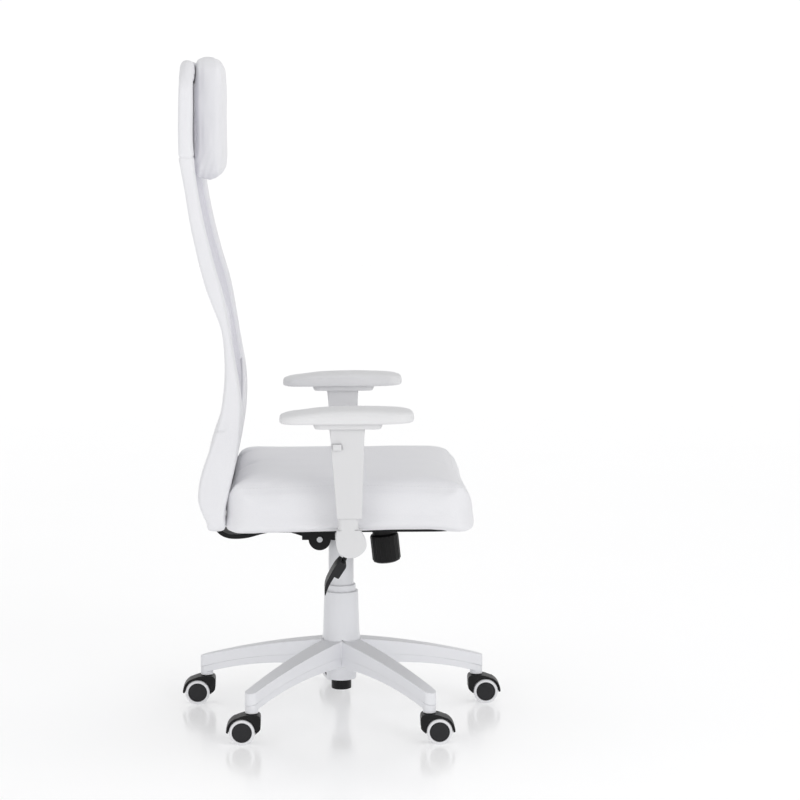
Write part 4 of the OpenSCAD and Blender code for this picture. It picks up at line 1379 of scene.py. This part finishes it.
def rounded_outline(half_x: float, half_y: float, radius: float, count: int) -> np.ndarray:
    """Outline of a rectangle with rounded corners, at an even step.

    Args:
        half_x: Half its width.
        half_y: Half its length.
        radius: Radius of the corners.
        count: Number of points.

    Returns:
        Points in two axes, anticlockwise from the right side.
    """
    side, round_ = rounded_section(16, 24)
    outline = side * (np.array([half_x, half_y]) - radius) + round_ * radius
    closed = np.concatenate([outline, outline[:1]])
    gone = np.concatenate([[0.0], np.cumsum(np.linalg.norm(np.diff(closed, axis=0), axis=1))])
    places = np.linspace(0, gone[-1], count, endpoint=False)
    return np.stack([np.interp(places, gone, closed[:, k]) for k in range(2)], 1)


# Seat ---------------------------------------------------------------------------------------


class Cushion:
    """Ways of starting a padded piece from its CAD solid."""

    @staticmethod
    def from_node(
        name: str, node: bpy.types.Object, material: bpy.types.Material, shrink: float
    ) -> bpy.types.Object:
        """A joined copy of a CAD solid, moved in a little for the swelling that follows.

        Args:
            name: The piece's name.
            node: The CAD node.
            material: Its finish.
            shrink: How far its skin moves in.

        Returns:
            The new object.
        """
        mesh = node.data.copy()
        mesh.name = name
        work = bmesh.new()
        work.from_mesh(mesh)
        bmesh.ops.remove_doubles(work, verts=work.verts, dist=JOINED)
        bmesh.ops.recalc_face_normals(work, faces=work.faces)
        work.to_mesh(mesh)
        work.free()
        mesh.materials.clear()
        mesh.materials.append(material)
        piece = bpy.data.objects.new(name, mesh)
        bpy.context.scene.collection.objects.link(piece)
        write_coordinates(piece, coordinates(piece) - point_normals(piece) * shrink)
        return piece


@dataclass
class Seat:
    """The padded seat, which rides on the seat body."""

    frame: dict
    paint: Paint
    seam_rise: float = 80 * MM
    rear_reach: float = 4.5 * MM
    crown: float = 4 * MM
    hem_y: tuple[float, ...] = (-0.253, -0.225, -0.199, -0.167, -0.10, -0.04, 0.012, 0.078, 0.137, 0.22)
    hem_lift: tuple[float, ...] = (0.0, 0.0015, 0.005, 0.0095, 0.0095, 0.006, 0.0045, 0.002, 0.0, 0.0)

    def build(self) -> None:
        """Swells the seat's solid, shapes its lower edge and crown, and sews its boxing seam."""
        low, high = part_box("seat_cushion")
        node = self.frame["nodes"]["seat_cushion"]
        seat = Cushion.from_node("seat_cushion_cover", node, self.paint.leather, 2 * MM)
        stuffed(seat, 6 * MM, 4.0, 7 * MM, np.array([low.z + 14 * MM, low.z + 34 * MM]))
        relaxed(seat, 2)
        fitted(seat, low, high + Vector((0.0, self.rear_reach, self.crown)))
        co = coordinates(seat)
        y = (co[:, 1] - low.y) / (high.y - low.y)
        x = co[:, 0] / high.x
        lower = np.clip(1 - (co[:, 2] - low.z) / (42 * MM), 0, 1)
        rim = np.clip((np.maximum(np.abs(x), np.abs(2 * y - 1)) - 0.9) / 0.08, 0, 1)
        lift = np.interp(co[:, 1], self.hem_y, self.hem_lift) * lower * rim
        seam = co[:, 2] - low.z - self.seam_rise - 6 * MM * bell(y - 0.5, 0.5)
        wall = np.clip((np.maximum(np.abs(x), np.abs(2 * y - 1)) - 0.86) / 0.05, 0, 1)
        groove = 1.0 * MM * bell(seam, 2.6 * MM) * wall
        shoulders = 0.4 * MM * bell(np.abs(seam) - 9 * MM, 7 * MM) * wall
        press = groove - shoulders
        fold = 0.7 * MM * creases(co, 85 * MM, 11) * (1 - lower)
        moved = co + point_normals(seat) * (fold - press)[:, None]
        moved[:, 2] += lift
        write_coordinates(seat, moved)
        finer(seat)
        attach(seat, "seat")
        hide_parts("seat_cushion")
        self.sew_seam(seat, low, high)
        log.info("seat: %d points", len(seat.data.vertices))

    def sew_seam(self, seat: bpy.types.Object, low: Vector, high: Vector) -> None:
        """Lays a row of stitches just above the boxing seam, all round the seat.

        Args:
            seat: The finished seat.
            low: Lowest corner of the seat's CAD solid.
            high: Its highest corner.
        """
        half_x, half_y = high.x, (high.y - low.y) / 2
        middle_y = (high.y + low.y) / 2
        around = rounded_outline(half_x + 40 * MM, half_y + 40 * MM, 90 * MM, 900)
        y = (around[:, 1] + half_y) / (2 * half_y)
        z = low.z + self.seam_rise + 6 * MM * bell(y - 0.5, 0.5) + 5 * MM
        start = np.stack([around[:, 0], around[:, 1] + middle_y, z], 1)
        toward = np.stack([-around[:, 0], -around[:, 1], 0 * z], 1)
        toward /= np.linalg.norm(toward, axis=1, keepdims=True)
        surface = Surface(seat)
        met, outward = surface.meet(start, toward)
        even, index = evenly(met, STITCH + STITCH_GAP, True)
        rolled = np.concatenate([outward, outward[:1]])
        normal = np.stack([np.interp(index, np.arange(len(rolled)), rolled[:, k]) for k in range(3)], 1)
        points, faces = stitches(even, normal, STITCH, THREAD)
        thread = Piece.from_faces("seat_stitches", points, faces, self.paint.thread)
        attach(thread, "seat")


# Arms ---------------------------------------------------------------------------------------


class Side(Enum):
    """The two sides of the chair, with the sign of X on each."""

    RIGHT = -1
    LEFT = 1

    @property
    def word(self) -> str:
        """The side's name as the CAD nodes and bodies have it."""
        return self.name.lower()


@dataclass
class Arms:
    """The two arm pads, each a crowned slab with a parting line round its upper edge."""

    frame: dict
    paint: Paint
    corner: float = 30 * MM
    deepest: float = 38 * MM
    edge: tuple[tuple[float, float], ...] = (
        (38, 0.0), (20, 0.0), (7, 0.0), (4, 0.015), (1.9, 0.07), (0.6, 0.16), (0.0, 0.30), (0.0, 0.45),
        (0.4, 0.58), (0.7, 0.615), (1.2, 0.63), (1.2, 0.645), (0.8, 0.66), (1.3, 0.71), (2.6, 0.79),
        (4.8, 0.86), (8.0, 0.905), (13, 0.94), (21, 0.97), (30, 0.99), (38, 1.0),
    )

    def build(self) -> None:
        """Makes the pad of each side."""
        for side in Side:
            self.build_pad(side)

    def build_pad(self, side: Side) -> None:
        """Carries the pad's edge profile round its outline, drawn in towards the middle.

        A ring is the outline moved in by a distance. Its height is bottom + share * (top - bottom), where
        the top and bottom are those of the CAD pad's long section at the same y.

        Args:
            side: Which side the pad is on.
        """
        node_name = f"{side.word}_arm_pad"
        low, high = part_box(node_name)
        half = np.array([(high.x - low.x) / 2, (high.y - low.y) / 2])
        middle = np.array([(high.x + low.x) / 2, (high.y + low.y) / 2])
        places = np.linspace(low.y + 9 * MM, high.y - 9 * MM, 60)
        bottom, top = cut_profile(self.frame["nodes"][node_name], places, 1, 2)
        profile = np.array(self.edge)
        rings = []
        for inset, share in profile:
            reach = min(inset * MM, self.deepest)
            corner = max(self.corner - reach, 3 * MM)
            outline = rounded_outline(half[0] - reach, half[1] - reach, corner, 220)
            rings.append((outline, share, 1.0))
        inner = rings[0][0]
        rings = [(inner, 0.0, k) for k in (0.3, 0.6)] + rings + [(inner, 1.0, k) for k in (0.6, 0.3)]
        built = []
        for outline, share, shrink in rings:
            xy = middle + outline * shrink
            floor, roof = np.interp(xy[:, 1], places, bottom), np.interp(xy[:, 1], places, top)
            built.append(np.stack([xy[:, 0], xy[:, 1], floor + share * (roof - floor)], 1))
        pad = Piece.tube_like(f"{node_name}_skin", np.stack(built), self.paint.arm_pad)
        finer(pad)
        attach(pad, f"{side.word}_arm_top")
        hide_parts(node_name)
        log.info("%s arm pad: %d points", side.word, len(pad.data.vertices))


# Casters ------------------------------------------------------------------------------------


@dataclass
class Casters:
    """Ten wheels, each a pale tread on a black core with a stippled cap."""

    frame: dict
    paint: Paint
    cap_share: float = 0.755
    spokes: int = 64

    def build(self) -> None:
        """Makes the two wheels of each of the five casters."""
        for number in range(1, 6):
            for side in Side:
                self.build_wheel(number, side)

    def lathe(
        self, name: str, profile: list[tuple[float, float]], centre: np.ndarray, outward: float,
        material: bpy.types.Material, ends: bool,
    ) -> bpy.types.Object:
        """Turns a profile about the axle, which runs along X.

        A point is centre + outward * depth along X + radius * (cos, sin) of the turn in Y and Z.

        Args:
            name: The piece's name.
            profile: Radius and depth of each point in millimetres.
            centre: Where the axle meets the wheel's inner face.
            outward: The sign of X that points away from the caster's middle.
            material: The finish.
            ends: Close the two ends with poles; otherwise the last point joins the first.

        Returns:
            The turned piece.
        """
        radius, depth = np.array(profile).T * MM
        turn = np.linspace(0, 2 * math.pi, self.spokes, endpoint=False)
        x = np.broadcast_to((centre[0] + outward * depth)[:, None], (len(radius), self.spokes))
        y = centre[1] + radius[:, None] * np.cos(turn)[None]
        z = centre[2] + radius[:, None] * np.sin(turn)[None]
        return Piece.tube_like(name, np.stack([x, y, z], 2), material, ends=ends, loop=not ends)

    def build_wheel(self, number: int, side: Side) -> None:
        """Makes one wheel's tread, core and cap inside its CAD wheel.

        Args:
            number: The caster's number.
            side: Which of its two wheels.
        """
        node_name = f"caster_{number}_wheel_{side.word}"
        low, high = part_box(node_name)
        middle = (np.array(low) + np.array(high)) / 2
        hood_low, hood_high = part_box(f"caster_{number}_hood")
        outward = 1.0 if middle[0] > (hood_low.x + hood_high.x) / 2 else -1.0
        inner_x = low.x if outward > 0 else high.x
        centre = np.array([inner_x, middle[1], middle[2]])
        r = (high.z - low.z) / 2 / MM
        w = (high.x - low.x) / MM
        cap = r * self.cap_share
        tread = [
            (cap + 0.4, 0.6), (r - 3.4, 0.3), (r - 1.6, 0.9), (r - 0.5, 2.1), (r, 4.0), (r, w * 0.5),
            (r, w - 5.2), (r - 0.35, w - 3.2), (r - 1.2, w - 1.7), (r - 2.6, w - 0.9), (cap + 1.4, w - 0.7),
            (cap + 0.7, w - 0.9), (cap + 0.45, w - 1.6), (cap + 0.4, w - 3.0),
        ]
        disc = [
            (4.2, 1.6), (cap - 3, 1.4), (cap - 0.2, 0.8), (cap + 0.2, 1.6), (cap + 0.2, w - 2.4),
            (cap, w - 1.4), (cap - 0.5, w - 0.8), (cap - 1.6, w - 0.5), (cap - 2.0, w - 0.9),
            (cap - 2.4, w - 0.95),
            (cap - 3.0, w - 0.55), (cap * 0.6, w - 0.25), (cap * 0.3, w - 0.1), (0.8, w - 0.05),
        ]
        body = f"caster_{number}_{side.word}_wheel"
        ring = self.lathe(f"{node_name}_tread", tread, centre, outward, self.paint.tread, ends=False)
        core = self.lathe(f"{node_name}_cap", disc, centre, outward, self.paint.cap, ends=True)
        for piece, slot in ((ring, "wheel_tread"), (core, "black_plastic")):
            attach(piece, body)
        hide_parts(node_name)
        log.info("caster %d, %s wheel", number, side.word)


# Hard pieces --------------------------------------------------------------------------------


@dataclass
class Hardware:
    """Every CAD node that keeps its shape, with its finish and the width of its eased corners."""

    frame: dict
    paint: Paint

    def finishes(self) -> dict[str, tuple[bpy.types.Material, float]]:
        """The finish and corner of each node; a corner of 0 keeps the node as it is.

        Returns:
            The pair for each node's name.
        """
        p = self.paint
        table = {
            "base_star": (p.base_white, 1.0 * MM), "column_cover": (p.cover_white, 0.5 * MM),
            "stand_tube": (p.column_white, 0.6 * MM), "tube_bush": (p.nylon, 0.0),
            "thrust_bearing": (p.steel, 0.0), "column_end_cap": (p.black_plastic, 1.2 * MM),
            "gas_rod": (p.steel, 0.0), "gas_cylinder": (p.black_steel, 0.0), "gas_button": (p.steel, 0.0),
            "mechanism_tray": (p.black_steel, 0.8 * MM), "seat_plate": (p.black_steel, 0.8 * MM),
            "recline_shaft": (p.steel, 0.6 * MM), "tension_knob": (p.black_plastic, 0.5 * MM),
            "tension_bolt": (p.plated, 0.0), "tension_spring": (p.steel, 0.0),
            "lever_rod": (p.black_steel, 0.4 * MM), "lever_paddle": (p.grey_paddle, 0.8 * MM),
            "seat_board": (p.dust_cloth, 0.8 * MM), "seat_bolts": (p.plated, 0.5 * MM),
            "arm_bolts": (p.plated, 0.5 * MM), "back_bolts": (p.plated, 0.5 * MM),
            "back_bar": (p.black_steel, 1.2 * MM), "headrest_bracket": (p.black_plastic, 0.6 * MM),
        }
        for number in range(1, 6):
            table[f"caster_{number}_hood"] = (p.black_plastic, 0.9 * MM)
            table[f"caster_{number}_pins"] = (p.plated, 0.4 * MM)
        for side in Side:
            table[f"{side.word}_arm_bracket"] = (p.arm_white, 1.6 * MM)
            table[f"{side.word}_arm_sleeve"] = (p.arm_white, 0.9 * MM)
            table[f"{side.word}_arm_button"] = (p.arm_white, 0.6 * MM)
            table[f"{side.word}_arm_plate"] = (p.arm_white, 1.2 * MM)
        return table

    def build(self) -> None:
        """Dresses each node, or replaces it with a copy whose corners are eased."""
        for name, (material, ease) in self.finishes().items():
            node = self.frame["nodes"][name]
            if ease > 0:
                piece = Piece.eased_copy(node, ease, material)
                self.slot_of(name)
            else:
                node.data.materials.clear()
                node.data.materials.append(material)
            log.info("%s: %s", name, material.name)

    def slot_of(self, name: str) -> str:
        """The record's material slot of a CAD node."""
        return next(s["material_slot"] for s in self.frame["record"]["subparts"] if s["node"] == name)


# Studio -------------------------------------------------------------------------------------


@dataclass
class Studio:
    """Pale floor, soft lights and the camera."""

    camera_place: Colour = (-4.8, 0.0573, 1.2156)
    camera_toward: Colour = (0.99216, -0.03633, -0.11961)
    lens: float = 109.1
    floor_half: float = 14.0
    sky: ClassVar[dict[str, float]] = {"From Min": 0.06, "From Max": 1.0, "To Min": 1.02, "To Max": 0.45}

    def build_floor(self) -> None:
        """Lays the floor as one large square at height 0."""
        bench = Bench("pale studio floor")
        cloud = bench.noise(0.6, 2.0)
        colour = bench.blend((0.93, 0.93, 0.935), (0.95, 0.95, 0.955), cloud)
        finish = bench.finish(
            Base_Color=colour, Roughness=0.16, Specular_IOR_Level=0.25,
            Emission_Color=(1.0, 1.0, 1.0), Emission_Strength=0.22,
        )
        h = self.floor_half
        points = np.array([[-h, -h, 0], [h, -h, 0], [h, h, 0], [-h, h, 0]], float)
        floor = Piece.from_faces("studio_floor", points, np.array([[0, 1, 2, 3]]), finish)

    def add_light(self, name: str, place: Colour, aim: Colour, size: float, power: float) -> None:
        """Adds one soft square light.

        Args:
            name: The light's name.
            place: Where it hangs.
            aim: The point it faces.
            size: Its side.
            power: Its power in watts.
        """
        lamp = bpy.data.lights.new(name, "AREA")
        lamp.shape, lamp.size, lamp.energy = "SQUARE", size, power
        holder = bpy.data.objects.new(name, lamp)
        holder.location = place
        holder.rotation_euler = (Vector(aim) - Vector(place)).to_track_quat("-Z", "Y").to_euler()
        bpy.context.scene.collection.objects.link(holder)

    def build_lights(self) -> None:
        """Sets a white surround that dims overhead, a large key light, a fill and a light from above."""
        world = bpy.data.worlds.new("white surround")
        world.use_nodes = True
        tree = world.node_tree
        background = tree.nodes["Background"]
        place = tree.nodes.new("ShaderNodeTexCoord")
        split = tree.nodes.new("ShaderNodeSeparateXYZ")
        fall = tree.nodes.new("ShaderNodeMapRange")
        tree.links.new(place.outputs["Generated"], split.inputs[0])
        tree.links.new(split.outputs[2], fall.inputs["Value"])
        for key, value in self.sky.items():
            fall.inputs[key].default_value = value
        tree.links.new(fall.outputs[0], background.inputs["Strength"])
        background.inputs["Color"].default_value = (1.0, 1.0, 1.0, 1.0)
        bpy.context.scene.world = world
        middle = (0.0, 0.0, 0.7)
        self.add_light("key", (-3.4, -2.4, 2.0), middle, 2.0, 30.0)
        self.add_light("fill", (-3.6, 2.2, 1.5), middle, 2.2, 14.0)
        self.add_light("top", (0.6, -0.6, 3.6), middle, 2.2, 10.0)

    def build_camera(self) -> None:
        """Places the camera, which looks level along the chair's side and a little down."""
        lens = bpy.data.cameras.new("camera")
        lens.lens, lens.sensor_width = self.lens, 36.0
        lens.clip_end = 100.0
        camera = bpy.data.objects.new("camera", lens)
        camera.location = self.camera_place
        camera.rotation_euler = Vector(self.camera_toward).to_track_quat("-Z", "Y").to_euler()
        bpy.context.scene.collection.objects.link(camera)
        bpy.context.scene.camera = camera

    def build(self) -> None:
        """Sets up the whole studio."""
        self.build_camera()
        self.build_floor()
        self.build_lights()
        bpy.context.scene.view_settings.view_transform = "Standard"
        log.info("studio ready")


def main() -> None:
    """Builds the chair's looks around the frame, in order."""
    logging.basicConfig(level=logging.INFO, format="%(name)s: %(message)s")
    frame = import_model()
    Studio().build()
    paint = Paint()
    Hardware(frame, paint).build()
    Casters(frame, paint).build()
    Arms(frame, paint).build()
    Seat(frame, paint).build()
    Back(frame, paint).build()
    log.info("all pieces are in place")


if __name__ == "__main__":
    main()
